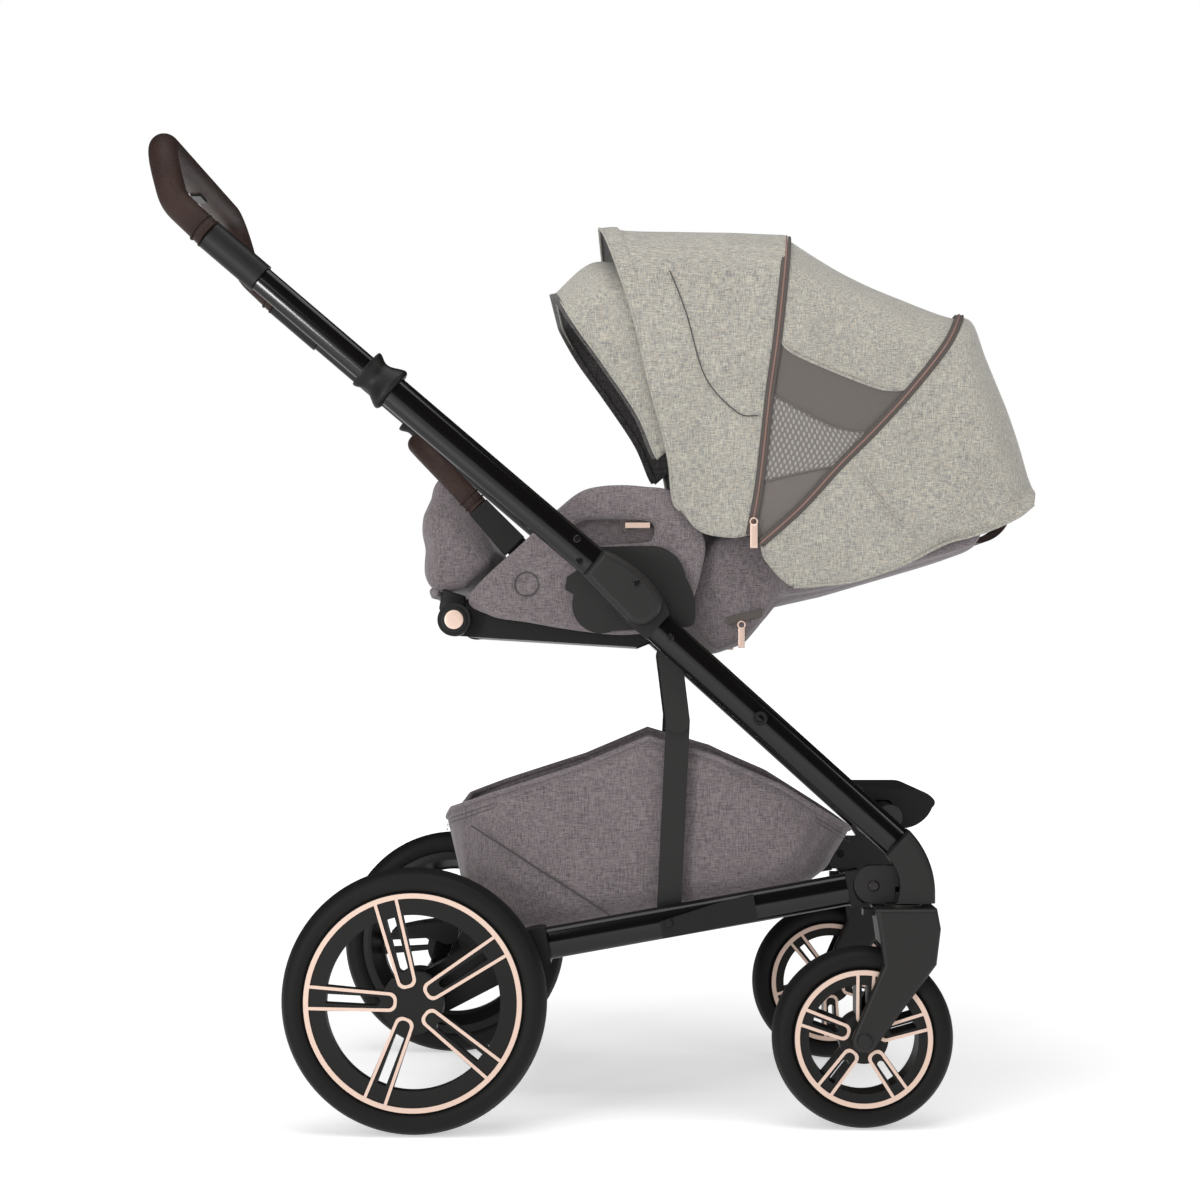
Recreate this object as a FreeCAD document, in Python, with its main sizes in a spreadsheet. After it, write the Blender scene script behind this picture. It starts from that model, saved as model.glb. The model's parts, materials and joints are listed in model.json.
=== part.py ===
import FreeCAD, Part
import math
import os
from types import SimpleNamespace
from FreeCAD import Matrix, Placement, Rotation, Vector

# Baby stroller with a parent-facing reclined seat.
# Frame: +X is the direction of travel, +Y the left side, +Z up.  The floor is Z = 0,
# Y = 0 the middle plane and X = 0 the middle of the overall length.  Lengths in mm.

doc = FreeCAD.newDocument("stroller")
sheet = doc.addObject("Spreadsheet::Sheet", "Sizes")

SIZES = [
    # wheels
    ("rear_wheel_radius", 145, "outer radius of a rear tyre"),
    ("rear_tyre_width", 46, "width of a rear tyre"),
    ("rear_rim_radius", 119.5, "seat of a rear tyre on its rim"),
    ("rear_window_radius", 95, "outer end of the openings in a rear rim"),
    ("rear_hub_radius", 34, "hub disc of a rear wheel"),
    ("rear_spoke_inner", 10.5, "half width of a rear double spoke at the hub"),
    ("rear_spoke_outer", 13.5, "half width of a rear double spoke at the ring"),
    ("front_wheel_radius", 100, "outer radius of a front tyre"),
    ("front_tyre_width", 42, "width of a front tyre"),
    ("front_rim_radius", 76.5, "seat of a front tyre on its rim"),
    ("front_window_radius", 60, "outer end of the openings in a front rim"),
    ("front_hub_radius", 27, "hub disc of a front wheel"),
    ("front_spoke_inner", 9.3, "half width of a front double spoke at the hub"),
    ("front_spoke_outer", 10.5, "half width of a front double spoke at the ring"),
    ("spoke_count", 5, "double spokes per wheel"),
    ("spoke_depth", 15, "depth of a spoke along the axle"),
    ("rim_face", 20, "outer face of a rim from the wheel's middle plane"),
    ("trim_thickness", 1.6, "thickness of the metallic trim"),
    ("trim_ring_width", 5.4, "radial width of the trim ring"),
    ("trim_line_width", 3.4, "width of the trim line round a spoke"),
    ("axle_radius", 6, "wheel axle"),
    ("running_gap", 0.08, "radial gap of a turning fit"),
    # where the wheels stand
    ("rear_axle_x", -196, "rear axle"),
    ("front_axle_x", 295.4, "front axle with the casters trailing"),
    ("caster_trail", 46, "swivel axis ahead of the front axle"),
    ("rear_wheel_y", 275, "middle plane of a rear wheel"),
    ("front_wheel_y", 230.5, "middle plane of a front wheel"),
    # frame planes and tubes
    ("frame_y", 219, "middle plane of a leg and of a side rail"),
    ("arm_y", 246, "middle plane of a push arm"),
    ("tube_width", 24, "frame tube across the stroller"),
    ("tube_height", 36, "frame tube in its own plane"),
    ("tube_wall", 2, "wall of the frame tubes"),
    ("inner_width", 18, "telescoping tube across the stroller"),
    ("inner_height", 29.5, "telescoping tube in its own plane"),
    ("slide_gap", 0.35, "gap round a sliding tube"),
    ("hub_x", 49, "main folding hub"),
    ("hub_z", 581, "main folding hub"),
    ("hub_pin_radius", 8, "pin of the main hub"),
    ("arm_slope", 40.6, "push arm above the horizontal, degrees"),
    ("arm_start", 66, "from the hub to the push arm's lower end"),
    ("arm_length", 292, "push arm tube"),
    ("collar_length", 40, "telescope collar"),
    ("inner_start", 200, "from the hub to the lower end of the telescoping tube"),
    ("inner_length", 410, "telescoping tube"),
    ("grip_collar_start", 553, "from the hub to the handle collar"),
    ("grip_start", 628, "from the hub to the covered handle"),
    ("grip_radius", 16.5, "covered handle tube"),
    ("grip_rear_x", -488, "middle of the handle's cross bar"),
    ("grip_top_z", 1098, "middle of the handle's cross bar"),
    ("leg_start_x", 71, "upper end of a leg tube"),
    ("leg_start_z", 553, "upper end of a leg tube"),
    ("leg_slope", 42.2, "leg below the horizontal, degrees"),
    ("leg_length", 356, "leg tube"),
    ("swivel_z", 247, "joint between the elbow and the caster"),
    ("rail_pivot_x", 309, "pivot of the rear frame on the elbow"),
    ("rail_pivot_z", 266, "pivot of the rear frame on the elbow"),
    ("rail_slope", 10.2, "side rail down towards the rear, degrees"),
    ("rail_start", 29, "from the rear pivot to the side rail's front end"),
    ("rail_length", 337, "side rail tube"),
    ("strut_foot_x", 82, "lower pivot of the strut"),
    ("strut_foot_z", 225, "lower pivot of the strut"),
    ("strut_knee_x", 93, "middle pivot of the strut"),
    ("strut_knee_z", 447, "middle pivot of the strut"),
    ("strut_top_x", 84, "upper pivot of the strut"),
    ("strut_top_z", 522, "upper pivot of the strut"),
    ("strut_half", 13.5, "half width of the strut bars"),
    ("strut_thickness", 3.6, "thickness of a strut bar"),
    # seat
    ("seat_pad_half", 157, "half width of the seat pad"),
    ("shell_inner", 166, "inner face of the seat's side wall"),
    ("shell_thickness", 20, "seat's side wall"),
    ("plate_inner", 187, "inner face of the seat's hub plate"),
    ("plate_thickness", 8.5, "seat's hub plate"),
    ("seat_boss_radius", 20, "boss that carries the seat in the frame"),
    ("calf_pivot_x", -160, "pivot of the calf rest"),
    ("calf_pivot_z", 562, "pivot of the calf rest"),
    ("calf_half", 157, "half width of the calf rest"),
    ("bumper_half", 172, "middle of the bumper bar's side"),
    ("bumper_radius", 12, "covered bumper bar"),
    # canopy
    ("canopy_half", 191.5, "outer half width of the canopy"),
    ("canopy_wall", 3, "thickness of the canopy's fabric and bows"),
    ("canopy_pivot_x", 180, "lower corner where the canopy's bows meet"),
    ("canopy_pivot_z", 650, "lower corner where the canopy's bows meet"),
    ("canopy_corner", 60, "rounding of the canopy along its top"),
    ("backrest_half", 146, "half width of the backrest between the seat's walls"),
    # basket
    ("basket_half", 190, "outer half width of the basket"),
    ("basket_wall", 4, "thickness of the basket's fabric"),
]

for row, (name, value, note) in enumerate(SIZES, start=1):
    sheet.set(f"A{row}", name)
    sheet.set(f"B{row}", str(value))
    sheet.set(f"C{row}", note)
    sheet.setAlias(f"B{row}", name)
doc.recompute()
S = SimpleNamespace(**{name: float(sheet.get(name)) for name, _, _ in SIZES})

RIGHT, LEFT = -1, 1
SIDES = {"right": RIGHT, "left": LEFT}
NODES = []


# ---------------------------------------------------------------- helpers

def point(origin, angle, distance, offset=0.0):
    """Point in the XZ plane: distance along angle (degrees), offset to its left."""
    a = math.radians(angle)
    return (origin[0] + distance * math.cos(a) - offset * math.sin(a),
            origin[1] + distance * math.sin(a) + offset * math.cos(a))


def keep(item, label):
    item.Label = label
    NODES.append(item)
    return item


def origin_plane(body, role):
    return next(f for f in body.Origin.OriginFeatures if f.Role == role)


def new_sketch(body, role, offset=None):
    """Sketch on one of the body's planes; offset is an expression along its normal."""
    sketch = body.newObject("Sketcher::SketchObject", "Sketch")
    sketch.AttachmentSupport = [(origin_plane(body, role), "")]
    sketch.MapMode = "FlatFace"
    if offset:
        sketch.setExpression(".AttachmentOffset.Base.z", offset)
    return sketch


def draw(sketch, start, steps):
    """Closed outline: a step is an end point, or (middle, end) of an arc."""
    here = Vector(*start, 0)
    for step in list(steps) + [start]:
        if isinstance(step[0], tuple):
            middle, end = Vector(*step[0], 0), Vector(*step[1], 0)
            sketch.addGeometry(Part.Arc(here, middle, end), False)
        else:
            end = Vector(*step, 0)
            if (end - here).Length > 1e-6:
                sketch.addGeometry(Part.LineSegment(here, end), False)
        here = end


def circle(sketch, centre, radius):
    sketch.addGeometry(Part.Circle(Vector(*centre, 0), Vector(0, 0, 1), radius), False)


def oval(sketch, width, height):
    """Flattened oval of four arcs, width along x and height along y."""
    a, b = width / 2, height / 2
    ca, cb = 0.80 * a, 0.64 * b
    draw(sketch, (ca, -cb), [((a, 0), (ca, cb)), ((0, b), (-ca, cb)),
                             ((-a, 0), (-ca, -cb)), ((0, -b), (ca, -cb))])


def pad(body, sketch, length):
    """Pad symmetric about the sketch; length is an expression."""
    feature = body.newObject("PartDesign::Pad", "Pad")
    feature.Profile = sketch
    feature.SideType = "Symmetric"
    feature.setExpression("Length", length)
    return feature


def pocket(body, sketch, length):
    """Pocket symmetric about the sketch; fails when it removes nothing."""
    doc.recompute()
    before = body.Shape.Volume
    feature = body.newObject("PartDesign::Pocket", "Pocket")
    feature.Profile = sketch
    feature.SideType = "Symmetric"
    feature.setExpression("Length", length)
    doc.recompute()
    if body.Shape.Volume > before - 1:
        raise RuntimeError(f"a pocket in {body.Name} cut nothing")
    return feature


def across(side, distance):
    """Offset expression that puts an XZ sketch at a distance from the middle plane."""
    return f"{-side} * ({distance})"


def plate(name, side, distance, width, start, steps, holes=()):
    """Body whose outline lies in the XZ plane, centred at a distance from Y = 0."""
    body = doc.addObject("PartDesign::Body", name)
    sketch = new_sketch(body, "XZ_Plane", across(side, distance))
    draw(sketch, start, steps)
    for centre, radius in holes:
        circle(sketch, centre, radius)
    pad(body, sketch, width)
    return body


def add_plate(body, side, distance, width, start, steps, holes=(), cut=False):
    sketch = new_sketch(body, "XZ_Plane", across(side, distance))
    draw(sketch, start, steps)
    for centre, radius in holes:
        circle(sketch, centre, radius)
    return pocket(body, sketch, width) if cut else pad(body, sketch, width)


def add_disc(body, side, distance, width, centre, radius, cut=False):
    sketch = new_sketch(body, "XZ_Plane", across(side, distance))
    circle(sketch, centre, radius)
    return pocket(body, sketch, width) if cut else pad(body, sketch, width)


def round_edges(body, radius, chosen):
    """Fillet the edges of the body's tip that chosen(edge) picks."""
    doc.recompute()
    tip = body.Tip
    names = [f"Edge{i}" for i, edge in enumerate(tip.Shape.Edges, start=1) if chosen(edge)]
    feature = body.newObject("PartDesign::Fillet", "Fillet")
    feature.Base = (tip, names)
    feature.Radius = radius
    doc.recompute()
    return feature


def in_plane(y, tolerance=0.01):
    return lambda edge: all(abs(v.Point.y - y) < tolerance for v in edge.Vertexes)


def turned(angle, side_y, origin):
    """Placement whose local z runs along angle in the XZ plane and local x along Y."""
    a = math.radians(angle)
    ux, uz = math.cos(a), math.sin(a)
    return Placement(Matrix(0, -uz, ux, origin[0],
                            1, 0, 0, side_y,
                            0, ux, uz, origin[1],
                            0, 0, 0, 1))


def oval_tube(name, side, side_y, origin, angle, length, outer, inner=None):
    """Straight oval tube or bar; length is an expression, outer and inner (width, height)."""
    body = doc.addObject("PartDesign::Body", name)
    sketch = new_sketch(body, "XY_Plane")
    oval(sketch, *outer)
    if inner:
        oval(sketch, *inner)
    feature = body.newObject("PartDesign::Pad", "Pad")
    feature.Profile = sketch
    feature.setExpression("Length", length)
    body.Placement = turned(angle, side * side_y, origin)
    return body


def bar_outline(p, q, half):
    """Outline of a bar with round ends from p to q."""
    angle = math.degrees(math.atan2(q[1] - p[1], q[0] - p[0]))
    start = point(p, angle, 0, half)
    steps = [(point(p, angle + 180, half), point(p, angle, 0, -half)),
             point(q, angle, 0, -half),
             (point(q, angle, half), point(q, angle, 0, half))]
    return start, steps


def cylinder(name, centre, direction, radius, height):
    """Part cylinder; radius and height are expressions."""
    item = doc.addObject("Part::Cylinder", name)
    item.setExpression("Radius", radius)
    item.setExpression("Height", height)
    item.Placement = Placement(Vector(*centre), Rotation(Vector(0, 0, 1), Vector(*direction)))
    return item


def group(label, items):
    """Node of separate solids."""
    compound = doc.addObject("Part::Compound", label)
    compound.Links = items
    return keep(compound, label)


def joined(label, items):
    fuse = doc.addObject("Part::MultiFuse", label)
    fuse.Shapes = items
    return fuse


def minus(label, base, tool):
    cut = doc.addObject("Part::Cut", label)
    cut.Base = base
    cut.Tool = tool
    return cut


def dome_head(name, side, x, z, y_face, radius=4.5, height=2.2):
    """Screw head with a rounded rim, standing on the face at side * y_face."""
    blank = Part.makeCylinder(radius, height, Vector(x, side * y_face, z), Vector(0, side, 0))
    rim = max(blank.Edges, key=lambda edge: side * edge.CenterOfMass.y)
    item = doc.addObject("Part::Feature", name)
    item.Shape = blank.makeFillet(0.7 * height, [rim])
    return item


def rounded_path(points, radii):
    """Wire of straight runs joined by tangent arcs; radii belong to the inner points."""
    points = [Vector(*p) for p in points]
    edges, here = [], points[0]
    for before, corner, after, radius in zip(points, points[1:], points[2:], radii):
        u, v = (before - corner).normalize(), (after - corner).normalize()
        half = u.getAngle(v) / 2
        reach = radius / math.tan(half)
        start, end = corner + u * reach, corner + v * reach
        bisector = (u + v).normalize()
        middle = corner + bisector * (radius / math.sin(half) - radius)
        edges.append(Part.LineSegment(here, start).toShape())
        edges.append(Part.Arc(start, middle, end).toShape())
        here = end
    edges.append(Part.LineSegment(here, points[-1]).toShape())
    return Part.Wire(edges)


def swept_bar(name, points, radii, radius):
    """Round bar along a rounded path."""
    path = rounded_path(points, radii)
    first = path.Edges[0]
    start = path.Vertexes[0].Point
    direction = first.tangentAt(first.FirstParameter)
    profile = Part.Wire(Part.makeCircle(radius, start, direction))
    item = doc.addObject("Part::Feature", name)
    item.Shape = path.makePipeShell([profile], True, False)
    return item


# ---------------------------------------------------------------- key places

HUB = (S.hub_x, S.hub_z)
ARM_ANGLE = 180 - S.arm_slope
LEG_ANGLE = -S.leg_slope
RAIL_ANGLE = 180 + S.rail_slope
LEG_START = (S.leg_start_x, S.leg_start_z)
LEG_END = point(LEG_START, LEG_ANGLE, S.leg_length)
RAIL_PIVOT = (S.rail_pivot_x, S.rail_pivot_z)
REAR_AXLE = (S.rear_axle_x, S.rear_wheel_radius)
FRONT_AXLE = (S.front_axle_x, S.front_wheel_radius)
SWIVEL_X = S.front_axle_x + S.caster_trail
FOOT = (S.strut_foot_x, S.strut_foot_z)
KNEE = (S.strut_knee_x, S.strut_knee_z)
TOP = (S.strut_top_x, S.strut_top_z)
CALF = (S.calf_pivot_x, S.calf_pivot_z)
CANOPY = (S.canopy_pivot_x, S.canopy_pivot_z)
FRAME_OUTER = S.frame_y + S.tube_width / 2
FRAME_INNER = S.frame_y - S.tube_width / 2
ARM_OUTER = S.arm_y + S.tube_width / 2
TUBE = (S.tube_width, S.tube_height)
TUBE_BORE = (S.tube_width - 2 * S.tube_wall, S.tube_height - 2 * S.tube_wall)
INNER = (S.inner_width, S.inner_height)
INNER_BORE = (S.inner_width - 3, S.inner_height - 3)
SLIDE_BORE = (S.inner_width + 2 * S.slide_gap, S.inner_height + 2 * S.slide_gap)


def arm_point(distance, offset=0.0):
    return point(HUB, ARM_ANGLE, distance, offset)


# ---------------------------------------------------------------- wheels

REAR_SPOKE_TURN, FRONT_SPOKE_TURN = 33, 16     # degrees from forward, seen from the right


def wheel_placement(side, side_y, axle, turn):
    """Local z is the outboard direction; turn is the angle of the first spoke, in degrees."""
    outboard = Rotation(Vector(1, 0, 0), -90 * side)
    return Placement(Vector(axle[0], side * side_y, axle[1]),
                     outboard * Rotation(Vector(0, 0, 1), turn))


def revolved(name, profiles):
    body = doc.addObject("PartDesign::Body", name)
    sketch = new_sketch(body, "XZ_Plane")
    for start, steps in profiles:
        draw(sketch, start, steps)
    feature = body.newObject("PartDesign::Revolution", "Revolution")
    feature.Profile = sketch
    feature.ReferenceAxis = (sketch, ["V_Axis"])
    feature.Angle = 360
    doc.recompute()
    return body


def tyre(name, radius, seat, width, placement):
    depth = radius - seat
    shoulder = radius - 0.2 * depth
    profile = ((seat, -0.38 * width), [
        ((seat + 0.45 * depth, -0.5 * width), (shoulder, -0.40 * width)),
        ((radius, 0), (shoulder, 0.40 * width)),
        ((seat + 0.45 * depth, 0.5 * width), (seat, 0.38 * width))])
    body = revolved(name, [profile])
    body.Placement = placement
    return keep(body, name)


def polar(body, feature):
    pattern = body.newObject("PartDesign::PolarPattern", "Pattern")
    pattern.Originals = [feature]
    pattern.Axis = (body.Origin.OriginFeatures[2], [""])
    pattern.Angle = 360
    pattern.setExpression("Occurrences", "Sizes.spoke_count")
    body.Tip = pattern
    doc.recompute()
    return pattern


def spoke_edge(radius, half):
    return (math.sqrt(radius ** 2 - half ** 2), half)


def mirrored(p, angle):
    """Mirror a point in the line through the axis at angle."""
    a = math.radians(2 * angle)
    return (p[0] * math.cos(a) + p[1] * math.sin(a), p[0] * math.sin(a) - p[1] * math.cos(a))


def rim(name, seat, window, hub, inner_half, outer_half, bore_end, back, placement):
    """Cast rim: dished barrel, spoke web and hub, with windows and spoke slots cut out."""
    face, deep = S.rim_face, S.rim_face - S.spoke_depth
    bore = S.axle_radius + S.running_gap
    lip = seat - S.trim_ring_width - 1
    inner_face = -face if back else deep
    profile = [(0, face), (lip, face), (seat, face - 1), (seat, 1 - face), (lip, -face)]
    if back:
        start, profile = (bore, -face), [(bore, face)] + profile[1:]
    else:
        start = (bore, -face - 3)
        profile = [(bore, bore_end), (0, bore_end)] + profile
        profile += [(lip - 4, -face), (window + 3, inner_face - 2), (window, inner_face),
                    (hub, inner_face), (hub - 14, -face - 3)]
    body = revolved(name, [(start, profile)])
    half_step = 180 / S.spoke_count
    a, b = spoke_edge(hub, inner_half), spoke_edge(window, outer_half)
    sketch = new_sketch(body, "XY_Plane")
    draw(sketch, a, [b, (point((0, 0), half_step, window), mirrored(b, half_step)),
                     mirrored(a, half_step), (point((0, 0), half_step, hub), a)])
    polar(body, pocket(body, sketch, "4 * Sizes.rim_face"))
    slot_half = inner_half - 5.5
    sketch = new_sketch(body, "XY_Plane")
    draw(sketch, (hub + 6, -slot_half), [(window - 1, -slot_half), (window - 1, slot_half),
                                         (hub + 6, slot_half),
                                         ((hub + 6 - slot_half, 0), (hub + 6, -slot_half))])
    polar(body, pocket(body, sketch, "4 * Sizes.rim_face"))
    body.Placement = placement
    return keep(body, name)


def trim_side(name, seat, hub, inner_half, outer_half, placement, z_sign):
    """Metallic ring and the line round each double spoke, on one face of the rim."""
    outer = seat - 1
    ring_inner = outer - S.trim_ring_width
    height = f"{z_sign} * (Sizes.rim_face + Sizes.trim_thickness / 2)"
    body = doc.addObject("PartDesign::Body", name)
    sketch = new_sketch(body, "XY_Plane", height)
    circle(sketch, (0, 0), outer)
    circle(sketch, (0, 0), ring_inner)
    pad(body, sketch, "Sizes.trim_thickness")
    sketch = new_sketch(body, "XY_Plane", height)
    far = ring_inner + 1.5
    corner = inner_half * 0.8

    def u_line(inset, way):
        """Line round a spoke, an inset inside its edge, drawn one way or the other."""
        i, o, c = inner_half - inset, outer_half - inset, corner - inset * 0.6
        x, cut = hub / 2 + inset, c * 0.29
        return [(far, -o * way), (x + c, -i * way), ((x + cut, (cut - i) * way), (x, (c - i) * way)),
                (x, (i - c) * way), ((x + cut, (i - cut) * way), (x + c, i * way)), (far, o * way)]

    outside, inside = u_line(0, 1), u_line(S.trim_line_width, -1)
    draw(sketch, outside[0], outside[1:] + inside)
    polar(body, pad(body, sketch, "Sizes.trim_thickness"))
    body.Placement = placement
    return body


for word, side in SIDES.items():
    place = wheel_placement(side, S.rear_wheel_y, REAR_AXLE, REAR_SPOKE_TURN)
    tyre(f"rear_tyre_{word}", S.rear_wheel_radius, S.rear_rim_radius, S.rear_tyre_width, place)
    rim(f"rear_rim_{word}", S.rear_rim_radius, S.rear_window_radius, S.rear_hub_radius,
        S.rear_spoke_inner, S.rear_spoke_outer, S.rim_face - 8, False, place)
    keep(trim_side(f"rear_trim_{word}", S.rear_rim_radius, S.rear_hub_radius,
                   S.rear_spoke_inner, S.rear_spoke_outer, place, 1), f"rear_trim_{word}")
    place = wheel_placement(side, S.front_wheel_y, FRONT_AXLE, FRONT_SPOKE_TURN)
    tyre(f"front_tyre_{word}", S.front_wheel_radius, S.front_rim_radius, S.front_tyre_width,
         place)
    rim(f"front_rim_{word}", S.front_rim_radius, S.front_window_radius, S.front_hub_radius,
        S.front_spoke_inner, S.front_spoke_outer, 0, True, place)
    faces = [trim_side(f"front_trim_{word}_{z}", S.front_rim_radius, S.front_hub_radius + 6,
                       S.front_spoke_inner, S.front_spoke_outer, place, z) for z in (1, -1)]
    group(f"front_trim_{word}", faces)


# ---------------------------------------------------------------- front frame (root body)

SEAT_LIMIT = S.plate_inner + S.plate_thickness + 2.5     # nothing of the frame lies inside it
REST_OUTER = S.seat_boss_radius + 8

for word, side in SIDES.items():
    keep(oval_tube(f"leg_tube_{word}", side, S.frame_y, LEG_START, LEG_ANGLE,
                   "Sizes.leg_length", TUBE, TUBE_BORE), f"leg_tube_{word}")

    # hub: disc round the main pivot, neck onto the leg and an open rest for the seat's boss
    hub_disc = 27
    neck = S.tube_height / 2 + 0.8
    hub_width = S.arm_y - S.tube_width / 2 + 2 - FRAME_INNER
    body = plate(f"leg_hub_{word}", side, f"{FRAME_INNER + hub_width / 2}", f"{hub_width}",
                 point(HUB, 30, hub_disc),
                 [(point(HUB, 135, hub_disc), point(HUB, 235, hub_disc)),
                  point(LEG_START, LEG_ANGLE, 0, -neck), point(LEG_START, LEG_ANGLE, 0, neck)])
    rest = S.seat_boss_radius + 0.5
    rest_width = FRAME_INNER - SEAT_LIMIT
    top = S.hub_z + 8
    add_plate(body, side, f"{FRAME_INNER - rest_width / 2}", f"{rest_width}",
              (S.hub_x - REST_OUTER, top),
              [((S.hub_x, S.hub_z - REST_OUTER), (S.hub_x + REST_OUTER, top)),
               (S.hub_x + rest, top), ((S.hub_x, S.hub_z - rest), (S.hub_x - rest, top))])
    pin_start = FRAME_INNER + hub_width
    add_disc(body, side, f"{pin_start + 6}", "12", HUB, S.hub_pin_radius)
    keep(body, f"leg_hub_{word}")

    # elbow: bend from the leg down to the caster, with a forked boss for the side rail
    elbow_width = 2 * (S.front_wheel_y - S.frame_y) + S.tube_width - 4
    elbow_middle = FRAME_INNER + elbow_width / 2
    half = S.tube_height / 2 + 1
    right_edge, left_edge = SWIVEL_X + 34, SWIVEL_X - 9
    body = plate(f"elbow_body_{word}", side, f"{elbow_middle}", f"{elbow_width}",
                 point(LEG_END, LEG_ANGLE, 0, -half),
                 [point(LEG_END, LEG_ANGLE, 0, half),
                  ((right_edge - 8, S.swivel_z + 51), (right_edge, S.swivel_z + 15)),
                  (right_edge, S.swivel_z + 1), (left_edge, S.swivel_z + 1),
                  ((left_edge + 3, S.swivel_z + 28), point(LEG_END, LEG_ANGLE, 0, -half))])
    outer_y = side * (FRAME_INNER + elbow_width)
    round_edges(body, 8, lambda edge: in_plane(outer_y)(edge)
                and all(v.Point.x > LEG_END[0] + 5 for v in edge.Vertexes))
    boss = 22
    add_plate(body, side, "Sizes.frame_y", "Sizes.tube_width",
              (left_edge + 4, S.rail_pivot_z + boss),
              [(S.rail_pivot_x, S.rail_pivot_z + boss),
               ((S.rail_pivot_x - boss, S.rail_pivot_z), (S.rail_pivot_x, S.rail_pivot_z - boss + 3)),
               (left_edge + 4, S.swivel_z + 1)])
    add_disc(body, side, "Sizes.frame_y", "10.8", RAIL_PIVOT, boss + 2, cut=True)
    add_disc(body, side, "Sizes.frame_y", "2 * Sizes.tube_width", RAIL_PIVOT, 5.1, cut=True)
    socket = cylinder(f"swivel_socket_{word}", (SWIVEL_X, side * S.front_wheel_y, S.swivel_z),
                      (0, 0, 1), "9 + Sizes.running_gap", "18")
    keep(minus(f"elbow_{word}", body, socket), f"elbow_{word}")

cross_x, cross_z, cross_radius = LEG_END[0] - 5, LEG_END[1] + 26, 14
cross = cylinder("front_cross_tube", (cross_x, -FRAME_INNER, cross_z), (0, 1, 0),
                 f"{cross_radius}", f"{2 * FRAME_INNER}")
keep(cross, "front_cross_tube")

foot_z = cross_z + cross_radius
body = plate("footplate", RIGHT, "0", "240", (cross_x - 24, foot_z + 0.5),
             [(cross_x - 24, foot_z + 12), (cross_x + 38, foot_z + 12),
              ((cross_x + 52, foot_z + 8), (cross_x + 60, foot_z + 1)),
              ((cross_x + 61, foot_z - 3), (cross_x + 58, foot_z - 8)),
              ((cross_x + 46, foot_z - 24), (cross_x + 27, foot_z - 32)),
              (cross_x + 16, foot_z - 28), (cross_x + 16, foot_z - 7), (cross_x + 8, foot_z + 0.5)])
keep(body, "footplate")

sockets = []
socket_x, socket_z = point(LEG_START, LEG_ANGLE, 152)
for word, side in SIDES.items():
    body = doc.addObject("PartDesign::Body", f"accessory_{word}")
    sketch = new_sketch(body, "XZ_Plane", across(side, f"{FRAME_OUTER + 3.05}"))
    circle(sketch, (socket_x, socket_z), 8)
    circle(sketch, (socket_x, socket_z), 4)
    pad(body, sketch, "6")
    sockets.append(body)
group("accessory_sockets", sockets)

screws = []
for word, side in SIDES.items():
    screws.append(dome_head(f"leg_screw_{word}", side, *point(LEG_START, LEG_ANGLE, 18), FRAME_OUTER - 0.6))
    pivot_y = side * (FRAME_INNER + 1)
    screws.append(cylinder(f"rail_pin_{word}", (RAIL_PIVOT[0], pivot_y, RAIL_PIVOT[1]),
                           (0, side, 0), "5", "Sizes.tube_width - 1"))
    screws.append(dome_head(f"rail_screw_{word}", side, *RAIL_PIVOT, FRAME_OUTER, 6, 2.6))
    strut_pin = SEAT_LIMIT + 0.5
    screws.append(cylinder(f"strut_pin_{word}", (TOP[0], side * strut_pin, TOP[1]),
                           (0, side, 0), "4", f"{FRAME_INNER - strut_pin + 6}"))
group("frame_screws", screws)


# ---------------------------------------------------------------- push arm

COVER_INNER = S.arm_y - S.tube_width / 2 + 3
COVER_WIDTH = S.tube_width + 1
DRAWN_TUBE = 36     # height of the tube that the cover's outline was drawn for


def cover_point(along, across):
    """Point of the hub cover's outline, which grows with the tube's height."""
    return arm_point(along, across * S.tube_height / DRAWN_TUBE)


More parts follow.
